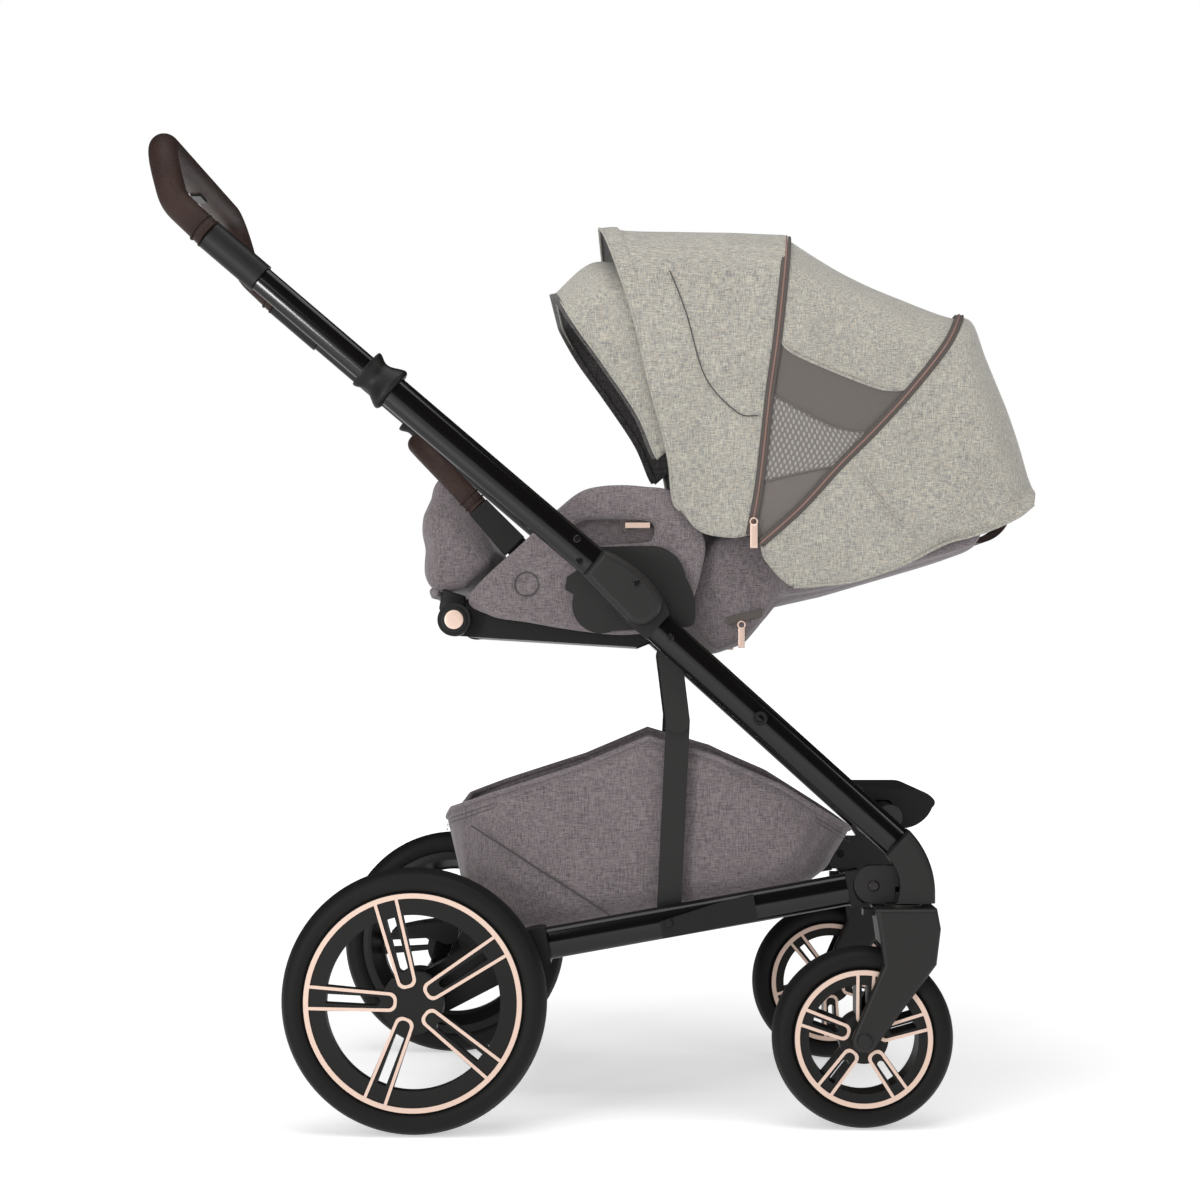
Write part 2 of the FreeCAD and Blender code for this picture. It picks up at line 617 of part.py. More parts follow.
collars, screws = [], []
for word, side in SIDES.items():
    keep(oval_tube(f"arm_tube_{word}", side, S.arm_y, arm_point(S.arm_start), ARM_ANGLE,
                   "Sizes.arm_length", TUBE, TUBE_BORE), f"arm_tube_{word}")

    # cover over the hub: straight at the tube, round at the far side of the pivot
    half = S.tube_height / 2 + 0.6
    body = plate(f"arm_cover_{word}", side, f"{COVER_INNER + COVER_WIDTH / 2}", f"{COVER_WIDTH}",
                 arm_point(S.arm_start, -half),
                 [(cover_point(30, -26), cover_point(-12, -22)),
                  (cover_point(-25, -7), cover_point(-26, 4)),
                  (cover_point(-20, 19), cover_point(0, 24)), arm_point(S.arm_start, half)])
    round_edges(body, 8, in_plane(side * (COVER_INNER + COVER_WIDTH)))
    add_disc(body, side, f"{COVER_INNER}", "26", HUB, S.hub_pin_radius + S.running_gap, cut=True)
    keep(body, f"arm_hub_cover_{word}")

    # flared collar where the telescoping tube leaves the arm
    start = S.arm_start + S.arm_length
    stations = [(0, 1.2), (0.55, 1.6), (0.8, 5), (0.93, 10), (1, 10)]
    wires = []
    for share, extra in stations:
        a = (S.tube_width + extra * 0.7) / 2
        b = (S.tube_height + extra) / 2
        ellipse = Part.Ellipse(Vector(0, b, share * S.collar_length),
                               Vector(a, 0, share * S.collar_length),
                               Vector(0, 0, share * S.collar_length))
        wires.append(Part.Wire(ellipse.toShape()))
    bore = oval_tube(f"collar_bore_{word}", side, S.arm_y, arm_point(start - 1), ARM_ANGLE,
                     "Sizes.collar_length + 2", SLIDE_BORE)
    doc.recompute()
    flare = Part.makeLoft(wires, True, False)
    flare.Placement = turned(ARM_ANGLE, side * S.arm_y, arm_point(start))
    item = doc.addObject("Part::Feature", f"collar_{word}")
    item.Shape = flare.cut(bore.Shape)
    collars.append(item)
    for number, (distance, offset) in enumerate([(96, -8), (78, 9), (14, -13)]):
        face = ARM_OUTER - 0.6 if distance > S.arm_start else COVER_INNER + COVER_WIDTH
        screws.append(dome_head(f"arm_screw_{word}_{number}", side,
                                *arm_point(distance, offset), face - 1))
group("telescope_collars", collars)
group("arm_screws", screws)


# ---------------------------------------------------------------- handle

collars = []
for word, side in SIDES.items():
    keep(oval_tube(f"inner_tube_{word}", side, S.arm_y, arm_point(S.inner_start), ARM_ANGLE,
                   "Sizes.inner_length", INNER, INNER_BORE), f"inner_tube_{word}")
    collars.append(oval_tube(f"grip_collar_{word}", side, S.arm_y,
                             arm_point(S.grip_collar_start), ARM_ANGLE,
                             "Sizes.grip_start - Sizes.grip_collar_start",
                             (S.inner_width + 8, S.inner_height + 5), INNER))
group("handle_collars", collars)

start = arm_point(S.grip_start + 1)
bend = point(start, ARM_ANGLE - 3, 56)
corner_y = S.arm_y - 8
points = [(start[0], -S.arm_y, start[1]), (bend[0], 3 - S.arm_y, bend[1]),
          (S.grip_rear_x, -corner_y, S.grip_top_z), (S.grip_rear_x, corner_y, S.grip_top_z),
          (bend[0], S.arm_y - 3, bend[1]), (start[0], S.arm_y, start[1])]
grip = swept_bar("grip_bar", points, [45, 45, 45, 45], S.grip_radius)
button_half, button_depth, button_travel = 22, 9, 3
button_z = S.grip_top_z - S.grip_radius - 2.5
recess = doc.addObject("Part::Box", "button_recess")
recess.Length, recess.Width = 12 + 0.8, 2 * button_half + 0.8
recess.Height = button_depth + button_travel + 1
recess.Placement.Base = Vector(S.grip_rear_x - 6.4, -button_half - 0.4, button_z)
keep(minus("handle_grip", grip, recess), "handle_grip")
button = doc.addObject("Part::Box", "handle_button")
button.Length, button.Width, button.Height = 12, 2 * button_half, button_depth
button.Placement.Base = Vector(S.grip_rear_x - 6, -button_half, button_z)
keep(button, "handle_button")


# ---------------------------------------------------------------- rear frame

def rail_point(distance, offset=0.0):
    """Along a side rail from its pivot; a negative offset is above the rail."""
    return point(RAIL_PIVOT, RAIL_ANGLE, distance, offset)


collars, housings, brackets = [], [], []
for word, side in SIDES.items():
    keep(oval_tube(f"side_rail_{word}", side, S.frame_y, rail_point(S.rail_start), RAIL_ANGLE,
                   "Sizes.rail_length", TUBE, TUBE_BORE), f"side_rail_{word}")

    half = S.tube_height / 2 + 0.6
    hollow = boss + 1
    reach = math.sqrt(hollow ** 2 - half ** 2)
    body = plate(f"rail_collar_{word}", side, "Sizes.frame_y", "Sizes.tube_width + 2",
                 rail_point(S.rail_start, half),
                 [rail_point(reach, half), (rail_point(hollow), rail_point(reach, -half)),
                  rail_point(S.rail_start, -half)])
    tongue = boss - 2
    add_plate(body, side, "Sizes.frame_y", "10",
              rail_point(0, tongue), [(rail_point(-tongue), rail_point(0, -tongue)),
                                      rail_point(hollow + 3, -tongue + 4),
                                      rail_point(hollow + 3, tongue - 4)],
              holes=[(RAIL_PIVOT, 5 + S.running_gap)])
    collars.append(body)

    # casting from the rail's rear end down to the axle
    end = S.rail_start + S.rail_length
    axle_disc = 30
    body = plate(f"axle_housing_{word}", side, f"{FRAME_INNER + 19}", "38",
                 rail_point(end, -half - 1),
                 [rail_point(end + 9, -half - 2.5),
                  (S.rear_axle_x + 66, S.rear_wheel_radius + 58),
                  point(REAR_AXLE, 72, axle_disc),
                  (point(REAR_AXLE, 170, axle_disc), point(REAR_AXLE, -70, axle_disc)),
                  (S.rear_axle_x + 92, S.rear_wheel_radius + 14),
                  rail_point(end + 9, half + 2), rail_point(end, half + 1)],
                 holes=[(REAR_AXLE, S.axle_radius + 0.1)])
    housings.append(body)

    # cheeks that carry the strut
    low, high = -S.tube_height / 2 - 1, S.tube_height / 2 - 3
    near, far = S.rail_pivot_x - 176, S.rail_pivot_x - 69
    outline = (rail_point(near, high - 30), [rail_point(near, high), rail_point(far - 70, high),
               rail_point(far, high + 1), rail_point(far, low + 16), rail_point(far - 60, low + 8)])
    body = plate(f"bracket_{word}", side, f"{FRAME_OUTER + 1.8}", "3.2", *outline)
    brackets.append(body)
    brackets.append(cylinder(f"foot_pin_{word}",
                             (FOOT[0], side * (SEAT_LIMIT + 0.5), FOOT[1]), (0, side, 0),
                             "4", f"{FRAME_INNER - SEAT_LIMIT + 1}"))
    brackets.append(dome_head(f"foot_screw_{word}", side, *FOOT, FRAME_OUTER + 3.4, 5, 2.4))
group("rail_collars", collars)
group("axle_housings", housings)
group("strut_brackets", brackets)

stub = S.rear_wheel_y + S.rim_face - 10
axle = cylinder("axle_rod", (REAR_AXLE[0], -stub, REAR_AXLE[1]), (0, 1, 0),
                "Sizes.axle_radius", f"{2 * stub}")
sleeve = cylinder("axle_sleeve", (REAR_AXLE[0], -FRAME_INNER, REAR_AXLE[1]), (0, 1, 0),
                  "11", f"{2 * FRAME_INNER}")
lug = plate("pedal_lug", RIGHT, "0", "16", (REAR_AXLE[0] - 8, REAR_AXLE[1] + 4),
            [(REAR_AXLE[0] + 4, REAR_AXLE[1] + 48), ((REAR_AXLE[0] + 16, REAR_AXLE[1] + 58),
             (REAR_AXLE[0] + 26, REAR_AXLE[1] + 44)), (REAR_AXLE[0] + 10, REAR_AXLE[1] + 4)],
            holes=[((REAR_AXLE[0] + 15, REAR_AXLE[1] + 44), 4 + S.running_gap)])
keep(joined("rear_axle", [axle, sleeve, lug]), "rear_axle")

# brake pedal: two cheeks and a tread on a pin through the lug
PEDAL = (REAR_AXLE[0] + 15, REAR_AXLE[1] + 44)
body = plate("brake_pedal", RIGHT, "0", "60", (PEDAL[0] - 66, PEDAL[1] - 2),
             [(PEDAL[0] - 66, PEDAL[1] + 4), ((PEDAL[0] - 40, PEDAL[1] + 10), (PEDAL[0] - 6, PEDAL[1] + 14)),
              ((PEDAL[0] + 14, PEDAL[1]), (PEDAL[0] - 2, PEDAL[1] - 12)),
              ((PEDAL[0] - 34, PEDAL[1] - 2), (PEDAL[0] - 66, PEDAL[1] - 2))])
add_plate(body, RIGHT, "0", "17", (PEDAL[0] - 30, PEDAL[1] - 20),
          [(PEDAL[0] - 30, PEDAL[1] + 24), (PEDAL[0] + 24, PEDAL[1] + 24),
           (PEDAL[0] + 24, PEDAL[1] - 20)], cut=True)
add_disc(body, RIGHT, "0", "40", PEDAL, 4)
keep(body, "brake_pedal")

# basket: open tub slung between the rails, its side panels peaked at the struts
basket = (S.rear_axle_x + 31, 282), [
    (S.rear_axle_x + 19, 328), (S.rear_axle_x + 24, 345), (-121, 362), (-15, 396), (41, 421),
    (70, 432), (97, 426), (147, 400), (209, 373), (293, 320), (296, 310), (271, 276),
    (230, 256), (-71, 208), (-150, 214)]
body = plate("basket", RIGHT, "0", "2 * Sizes.basket_half", *basket)
w = S.basket_wall
inner = (S.rear_axle_x + 31 + w, 284), [
    (S.rear_axle_x + 24 + w, 338), (S.rear_axle_x + 24 + w, 460), (292 - w, 460),
    (292 - w, 312), (266, 281), (228, 256 + w), (-71, 208 + w), (-145, 218)]
add_plate(body, RIGHT, "0", "2 * (Sizes.basket_half - Sizes.basket_wall)", *inner, cut=True)
keep(body, "basket")

LOWER_Y = SEAT_LIMIT + 0.6 + S.strut_thickness / 2
UPPER_Y = LOWER_Y + S.strut_thickness + 0.5
for label, p, q, y in (("lower_struts", FOOT, KNEE, LOWER_Y), ("upper_struts", TOP, KNEE, UPPER_Y)):
    bars = []
    for word, side in SIDES.items():
        fixed = p
        body = plate(f"{label}_{word}", side, f"{y}", "Sizes.strut_thickness",
                     *bar_outline(p, q, S.strut_half), holes=[(fixed, 4 + S.running_gap)])
        bars.append(body)
    group(label, bars)


# ---------------------------------------------------------------- casters

SLOT_HALF = S.front_tyre_width / 2 + 3
FORK_HALF = SLOT_HALF + 9
for word, side in SIDES.items():
    ax, az = FRONT_AXLE
    crown_top = S.swivel_z - 3.5
    body = plate(f"fork_body_{word}", side, "Sizes.front_wheel_y", f"{2 * FORK_HALF}",
                 (SWIVEL_X - 34, crown_top),
                 [(SWIVEL_X + 34, crown_top), (SWIVEL_X + 38, crown_top - 22),
                  (SWIVEL_X + 33, crown_top - 61), point(FRONT_AXLE, -37, 14),
                  (point(FRONT_AXLE, -100, 14), point(FRONT_AXLE, 160, 14)),
                  (SWIVEL_X - 25, crown_top - 61), (SWIVEL_X - 30, crown_top - 24)])
    for edge_y in (side * (S.front_wheel_y + FORK_HALF), side * (S.front_wheel_y - FORK_HALF)):
        round_edges(body, 5, in_plane(edge_y))
    add_disc(body, side, "Sizes.front_wheel_y", f"{2 * SLOT_HALF}", FRONT_AXLE,
             S.front_wheel_radius + 6, cut=True)
    slot = doc.addObject("Part::Box", f"lock_slot_{word}")
    slot.Length, slot.Width, slot.Height = 24, 20, 8
    slot.Placement.Base = Vector(SWIVEL_X - 40, side * S.front_wheel_y - 10, crown_top - 10)
    axle = cylinder(f"front_axle_{word}",
                    (ax, side * (S.front_wheel_y - FORK_HALF), az), (0, side, 0),
                    "Sizes.axle_radius", f"{2 * FORK_HALF}")
    cap = dome_head(f"axle_cap_{word}", side, ax, az, S.front_wheel_y + FORK_HALF, 8, 3)
    post = cylinder(f"swivel_post_{word}", (SWIVEL_X, side * S.front_wheel_y, crown_top - 1),
                    (0, 0, 1), "9", "17")
    ring = cylinder(f"swivel_ring_{word}", (SWIVEL_X, side * S.front_wheel_y, crown_top - 1),
                    (0, 0, 1), "20", f"{S.swivel_z - crown_top + 0.5}")
    fork = joined(f"fork_solid_{word}",
                  [minus(f"fork_cut_{word}", body, slot), axle, cap, post, ring])
    keep(fork, f"caster_fork_{word}")
    lock = doc.addObject("Part::Box", f"caster_lock_{word}")
    lock.Length, lock.Width, lock.Height = 22, 19, 7
    lock.Placement.Base = Vector(SWIVEL_X - 45, side * S.front_wheel_y - 9.5, crown_top - 9.5)
    keep(lock, f"caster_lock_{word}")


# ---------------------------------------------------------------- seat

FRAME_PLATE = S.shell_inner - 4.5      # middle of the seat frame's side plates
plates, walls, tabs = [], [], []
cx, cz = CALF
body = plate("seat_frame", RIGHT, "0", f"2 * {FRAME_PLATE + 3}", (cx + 14, cz - 19),
             [(S.hub_x - 3, S.hub_z - 50), (S.hub_x - 3, S.hub_z - 44), (cx + 14, cz - 12)])
for side in SIDES.values():
    add_plate(body, side, f"{FRAME_PLATE}", "6", (cx, cz - 18),
              [(S.hub_x - 3, S.hub_z - 50), (S.hub_x + 22, S.hub_z - 40),
               (S.hub_x + 24, S.hub_z + 12), (S.hub_x - 6, S.hub_z + 24),
               (cx + 60, cz + 6), (cx, cz + 16)])
    plate_outer = FRAME_PLATE + 3
    add_disc(body, side, f"{(plate_outer + 190) / 2}", f"{190 - plate_outer}", CALF, 18.8)
    boss_end = FRAME_INNER - 0.5
    add_disc(body, side, f"{(plate_outer + boss_end) / 2}", f"{boss_end - plate_outer}", HUB,
             S.seat_boss_radius)
keep(body, "seat_frame")

hole = S.seat_boss_radius + 0.4
for word, side in SIDES.items():
    plates.append(plate(
        f"hub_plate_{word}", side, "Sizes.plate_inner + Sizes.plate_thickness / 2",
        "Sizes.plate_thickness", (-2, 644),
        [(62, 645), ((88, 636), (102, 610)), ((112, 585), (113, 567)), ((111, 558), (100, 553)),
         (20, 549), ((-20, 560), (-24, 590)), (-34, 596), (-32, 610), (-14, 622)],
        holes=[(HUB, hole)]))
    wall = plate(
        f"seat_wall_{word}", side, "Sizes.shell_inner + Sizes.shell_thickness / 2",
        "Sizes.shell_thickness", (-143, 590),
        [(-76, 656), (-40, 690), ((-18, 708), (8, 714)), (59, 713), ((92, 706), (107, 682)),
         ((122, 660), (125, 640)), (113, 591), (100, 556), (39, 545), (-17, 549), (-77, 559),
         (-120, 567)], holes=[(HUB, hole)])
    add_plate(wall, side, "Sizes.shell_inner + Sizes.shell_thickness / 2",
              "Sizes.shell_thickness + 2", (-10, 647),
              [((-22, 656), (-18, 670)), ((-4, 676), (6, 676)), (52, 676), ((66, 672), (66, 660)),
               ((62, 650), (50, 649))], cut=True)
    walls.append(wall)
    tab = doc.addObject("Part::Box", f"release_button_{word}")
    tab.Length, tab.Width, tab.Height = 28, 12, 6
    tab.Placement.Base = Vector(34, side * (S.shell_inner + 10) - 6, 666)
    tabs.append(tab)
group("seat_hub_plates", plates)
group("seat_shell", walls)
group("release_buttons", tabs)

body = plate("seat_pad", RIGHT, "0", "2 * Sizes.seat_pad_half", (-140, 552),
             [(-142, 584), ((-130, 596), (-110, 596)), (0, 588), (22, 584), (22, 541), (-60, 546)])
keep(body, "seat_pad")

# bumper bar
clip_top, clip_low = (-134, 691), (-98, 650)
bar_angle = math.degrees(math.atan2(clip_top[1] - clip_low[1], clip_top[0] - clip_low[0]))
crossbar = (-208, 768)
points = [(clip_top[0], -S.bumper_half, clip_top[1]), (crossbar[0], -S.bumper_half, crossbar[1]),
          (crossbar[0], S.bumper_half, crossbar[1]), (clip_top[0], S.bumper_half, clip_top[1])]
keep(swept_bar("bumper_grip", points, [62, 62], S.bumper_radius), "bumper_grip")
clips = []
for word, side in SIDES.items():
    clips.append(plate(f"bumper_clip_{word}", side, "Sizes.bumper_half", "22",
                       point(clip_top, bar_angle, -1, 13),
                       [point(clip_top, bar_angle, -1, -13), point(clip_top, bar_angle, -60, -17),
                        point(clip_top, bar_angle, -62, 14)]))
group("bumper_clips", clips)

# calf rest
body = plate("calf_rest", RIGHT, "0", "2 * Sizes.calf_half", (-181, 591),
             [((-192, 600), (-194, 618)), ((-193, 645), (-197, 664)), ((-196, 682), (-186, 704)),
              (-184, 726), (-168, 729), (-130, 660), (-116, 628), (-150, 596)])
add_plate(body, RIGHT, "0", "2 * Sizes.calf_half", (cx - 11, 594),
          [(cx - 15, cz), ((cx, cz - 15), (cx + 15, cz)), (cx + 11, 599)])
keep(body, "calf_rest")


# ---------------------------------------------------------------- backrest and canopy

body = plate("backrest", RIGHT, "0", "2 * Sizes.backrest_half", (66, 604),
             [(66, 568), (103, 553), ((114, 532), (130, 525)), ((168, 538), (197, 572)),
              (206, 584), (277, 600), (442, 648), (446, 672), (300, 634), (150, 612)])
side_half = S.canopy_half - S.canopy_wall - 3.5
add_plate(body, RIGHT, "0", f"{2 * side_half}", (206, 588),
          [(277, 604), (438, 651), (442, 670), (300, 634), (206, 618)])
keep(body, "backrest")

lever = plate("recline_handle", RIGHT, "0", "96", (447, 655),
              [((470, 660), (487, 677)), (484, 677.5), ((468, 667), (447, 661))])
keep(lever, "recline_handle")


def prism(outline, half_width, radius, corners):
    """Prism across the stroller, its top edges between the corner points rounded."""
    corner = [Vector(x, -half_width, z) for x, z in outline]
    solid = Part.Face(Part.makePolygon(corner + corner[:1])).extrude(Vector(0, 2 * half_width, 0))

    def on_top(vertex):
        return any(math.hypot(vertex.Point.x - x, vertex.Point.z - z) < 0.1 for x, z in corners)

    edges = [edge for edge in solid.Edges
             if all(on_top(v) for v in edge.Vertexes)
             and abs(edge.Vertexes[0].Point.y - edge.Vertexes[1].Point.y) < 1]
    return solid.makeFillet(radius, edges)


def fabric_shell(outline, half_width, corners, hollow, hollow_corners):
    """Prism rounded along its top, less an inner one that leaves it open where they cross."""
    outer = prism(outline, half_width, S.canopy_corner, corners)
    inner = prism(hollow, half_width - S.canopy_wall, S.canopy_corner - S.canopy_wall,
                  hollow_corners)
    return outer.cut(inner)


def shape_node(label, shape):
    item = doc.addObject("Part::Feature", label)
    item.Shape = shape
    return keep(item, label)


t = S.canopy_wall
px, pz = CANOPY
front_top = [(8, 1013), (214, 1006)]
front_base = [(px + 1, pz + 5), (px - 30, pz + 4), (119, 663), (96, 685), (88, 698), (82, 750),
              (62, 828), (42, 912)]
hollow_top = [(-60, 1015 - t), (254, 1005 - t)]
shape_node("canopy_front", fabric_shell(
    front_top + front_base, S.canopy_half, front_top,
    hollow_top + [(254, 500), (-60, 500)], hollow_top))

inside = S.canopy_half - t - 1
window_top = [(213, 999), (411, 905)]
hollow_top = [(113, 1043), (501, 859)]
window = fabric_shell(window_top + [(px + 8, pz - 2), (px + 6, pz)], inside, window_top,
                      hollow_top + [(501, 540), (113, 570)], hollow_top)
rear_top = [(414, 907), (434, 903), (504, 715)]
rear_base = [(504, 704), (492, 684), (450, 664), (395, 647), (347, 623), (301, 607), (274, 602),
             (224, 598), (px + 7, pz - 4)]
hollow_top = [(360, 904), (432, 900), (500, 715)]
rear = fabric_shell(rear_top + rear_base, S.canopy_half, rear_top,
                    hollow_top + [(500, 706), (490, 688), (448, 668), (446, 500), (120, 500)],
                    hollow_top)
shape_node("canopy_rear", window.fuse(rear).removeSplitter())

visor_half = inside - t - 1
visor_top = [(-48, 939), (9, 976), (56, 948)]
hollow_top = [(-90, 908), (9, 972), (90, 925)]
shape_node("canopy_visor", fabric_shell(
    visor_top + [(92, 762), (71, 744)], visor_half, visor_top,
    hollow_top + [(130, 600), (-90, 600)], hollow_top))


# ---------------------------------------------------------------- write the parts

doc.recompute()
failed = [o.Name for o in doc.Objects if "Invalid" in o.State or "Error" in o.State]
if failed:
    raise RuntimeError(f"not recomputed: {failed}")
os.makedirs("parts", exist_ok=True)
for node in NODES:
    shape = node.Shape
    if shape.isNull() or not shape.isValid():
        raise RuntimeError(f"{node.Label} has no valid shape")
    shape.exportStep(f"parts/{node.Label}.step")
    box = shape.BoundBox
    print(f"{node.Label:24s} {shape.Volume / 1000:9.1f} cm3 {len(shape.Solids)} solids "
          f"X {box.XMin:.0f}..{box.XMax:.0f} Y {box.YMin:.0f}..{box.YMax:.0f} Z {box.ZMin:.0f}..{box.ZMax:.0f}")
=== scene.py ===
# %% [markdown]
# # A folding baby stroller
# The frame, wheels and fittings come ready made from the CAD model. This notebook gives them their
# finishes and makes everything that is sewn: canopy, seat walls, calf rest, backrest and basket.
# Every piece is made in its place, in metres, and all but the middle canopy pieces ride on the CAD body
# that carries them.

# %% Load the frame
import json
import math

import bmesh
import bpy
import numpy as np
from mathutils import Matrix, Vector


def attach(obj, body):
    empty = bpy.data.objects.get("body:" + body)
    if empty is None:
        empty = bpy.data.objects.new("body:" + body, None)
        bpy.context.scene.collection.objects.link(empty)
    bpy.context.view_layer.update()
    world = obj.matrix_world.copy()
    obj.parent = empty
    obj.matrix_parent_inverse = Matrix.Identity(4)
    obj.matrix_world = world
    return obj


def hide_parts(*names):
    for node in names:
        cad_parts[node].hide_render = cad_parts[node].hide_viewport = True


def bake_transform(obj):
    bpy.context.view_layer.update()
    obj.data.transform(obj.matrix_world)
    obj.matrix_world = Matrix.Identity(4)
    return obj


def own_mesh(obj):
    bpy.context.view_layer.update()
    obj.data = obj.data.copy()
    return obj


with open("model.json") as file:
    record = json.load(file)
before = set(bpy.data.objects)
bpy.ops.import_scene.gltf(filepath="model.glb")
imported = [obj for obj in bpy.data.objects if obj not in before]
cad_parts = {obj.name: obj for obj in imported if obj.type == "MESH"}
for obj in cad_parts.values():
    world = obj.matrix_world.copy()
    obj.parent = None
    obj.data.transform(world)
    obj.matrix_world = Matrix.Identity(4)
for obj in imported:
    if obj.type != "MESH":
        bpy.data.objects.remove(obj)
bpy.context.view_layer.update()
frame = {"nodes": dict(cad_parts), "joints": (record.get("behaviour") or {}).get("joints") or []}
joints = {joint["name"]: joint for joint in frame["joints"]}
SIDES = {"right": -1, "left": 1}


def pivot(joint):
    """Side view place (x, z) of a hinge, in metres."""
    x, _, z = joints[joint]["pos_m"]
    return np.array([x, z])


HUB = pivot("fold")
CANOPY = pivot("canopy_fold")
CALF = pivot("calf_rest_turn")
print("hub", HUB, "canopy hinge", CANOPY, "calf rest hinge", CALF)


def around(centre, points):
    """Side view points given in millimetres from a centre, in metres."""
    return np.asarray(centre) + np.asarray(points, float) / 1000


# %% [markdown]
# ## Camera and light
# The camera stands low and level, three metres away on the right-hand side. A long lens keeps the
# far wheels only a little smaller than the near ones. Big soft lamps over a pale floor give the
# tubes their long highlights and almost no hard shadow. The sky is dim for rays that light or mirror
# the pieces and white for the camera, so black tubes stay black on a white ground.

# %% Camera
YAW, PITCH, ROLL = -0.0184, 0.0279, -0.001
EYE, LENS, SENSOR = (0.0538, -2.82035, 0.51056), 69.8385, 36
ahead = Vector((math.sin(YAW) * math.cos(PITCH), math.cos(YAW) * math.cos(PITCH), math.sin(PITCH)))
level = Vector((math.cos(YAW), -math.sin(YAW), 0))
upward = level.cross(ahead)
right = level * math.cos(ROLL) + upward * math.sin(ROLL)
upward = upward * math.cos(ROLL) - level * math.sin(ROLL)
camera = bpy.data.objects.new("camera", bpy.data.cameras.new("camera"))
camera.data.sensor_width, camera.data.lens = SENSOR, LENS
camera.matrix_world = Matrix.Translation(EYE) @ Matrix((right, upward, -ahead)).transposed().to_4x4()
bpy.context.scene.collection.objects.link(camera)
bpy.context.scene.camera = camera
bpy.context.scene.view_settings.view_transform = "Standard"
print("camera at", EYE, "lens", LENS, "mm")


# %% Light
def lamp(name, place, aim, size, power):
    """Square area lamp at a place, turned to its aim."""
    light = bpy.data.lights.new(name, "AREA")
    light.size, light.energy = size, power
    item = bpy.data.objects.new(name, light)
    turn = (Vector(aim) - Vector(place)).to_track_quat("-Z", "Y")
    item.matrix_world = Matrix.Translation(place) @ turn.to_matrix().to_4x4()
    bpy.context.scene.collection.objects.link(item)


lamp("lamp_above", (0, -0.9, 3.2), (0, 0, 0.5), 2.4, 52)
lamp("lamp_front", (-1.6, -3.2, 2.2), (0, 0, 0.5), 1.8, 36)
lamp("lamp_right", (2.6, -2.2, 1.8), (0, 0, 0.5), 1.2, 15)
lamp("lamp_strip", (-1.5, -2.4, 0.55), (0, 0, 0.6), 0.35, 16)
world = bpy.data.worlds.new("studio")
world.use_nodes = True
sky = world.node_tree
sky.nodes["Background"].inputs[0].default_value = (1, 1, 1, 1)
rays = sky.nodes.new("ShaderNodeLightPath")
IN_SHADE, IN_GLOSS, IN_SIGHT = 0.30, 0.05, 1.0     # how bright the sky is for each kind of ray
strength = None
for ray, value in (("Is Glossy Ray", IN_GLOSS), ("Is Camera Ray", IN_SIGHT)):
    step = sky.nodes.new("ShaderNodeMapRange")
    sky.links.new(rays.outputs[ray], step.inputs[0])
    step.inputs["To Max"].default_value = value
    if strength:
        sky.links.new(strength, step.inputs["To Min"])
    else:
        step.inputs["To Min"].default_value = IN_SHADE
    strength = step.outputs[0]
sky.links.new(strength, sky.nodes["Background"].inputs[1])
bpy.context.scene.world = world
print("lamps:", len(bpy.data.lights))


# %% [markdown]
# ## Shared effects
# Three effects come back in many finishes, so each is a node group. The melange mixes two sets of
# stretched noise, one along and one across, as warp and weft yarns of uneven colour do. The grain
# is the fine bump of moulded plastic and rubber. The hide is the cell pattern of leather.

# %% Node helpers
def new_group(name, inputs, outputs):
    """Empty shader group with the named sockets; returns the group, its input and its output."""
    tree = bpy.data.node_groups.new(name, "ShaderNodeTree")
    for label, kind, value in inputs:
        socket = tree.interface.new_socket(name=label, in_out="INPUT", socket_type="NodeSocket" + kind)
        if value is not None:
            socket.default_value = value
    for label, kind in outputs:
        tree.interface.new_socket(name=label, in_out="OUTPUT", socket_type="NodeSocket" + kind)
    return tree, tree.nodes.new("NodeGroupInput"), tree.nodes.new("NodeGroupOutput")


def node(tree, kind, links=(), **settings):
    """New node; links maps its inputs to other nodes' outputs or to plain values."""
    item = tree.nodes.new("ShaderNode" + kind)
    for key, value in settings.items():
        setattr(item, key, value)
    for key, value in dict(links).items():
        if isinstance(value, bpy.types.NodeSocket):
            tree.links.new(value, item.inputs[key])
        else:
            item.inputs[key].default_value = value
    return item


def maths(tree, operation, first, second=0.0):
    """Result of one Math node."""
    return node(tree, "Math", {0: first, 1: second}, operation=operation).outputs[0]


def blend_colour(tree, factor, first, second):
    """Result of one colour Mix node."""
    item = node(tree, "Mix", {0: factor, 6: first, 7: second}, data_type="RGBA")
    return item.outputs[2]


def ramp(tree, value, low, high):
    """Value rescaled so that low becomes 0 and high becomes 1, smoothly."""
    item = node(tree, "MapRange", {0: value, 1: low, 2: high},
                interpolation_type="SMOOTHSTEP")
    return item.outputs[0]


def stretched_noise(tree, vector, scale, detail=2.0):
    """Noise whose grain is stretched by a scale of its own in each direction."""
    moved = node(tree, "VectorMath", {0: vector, 1: scale}, operation="MULTIPLY")
    return node(tree, "TexNoise", {"Vector": moved.outputs[0], "Scale": 1.0,
                                             "Detail": detail}).outputs[0]


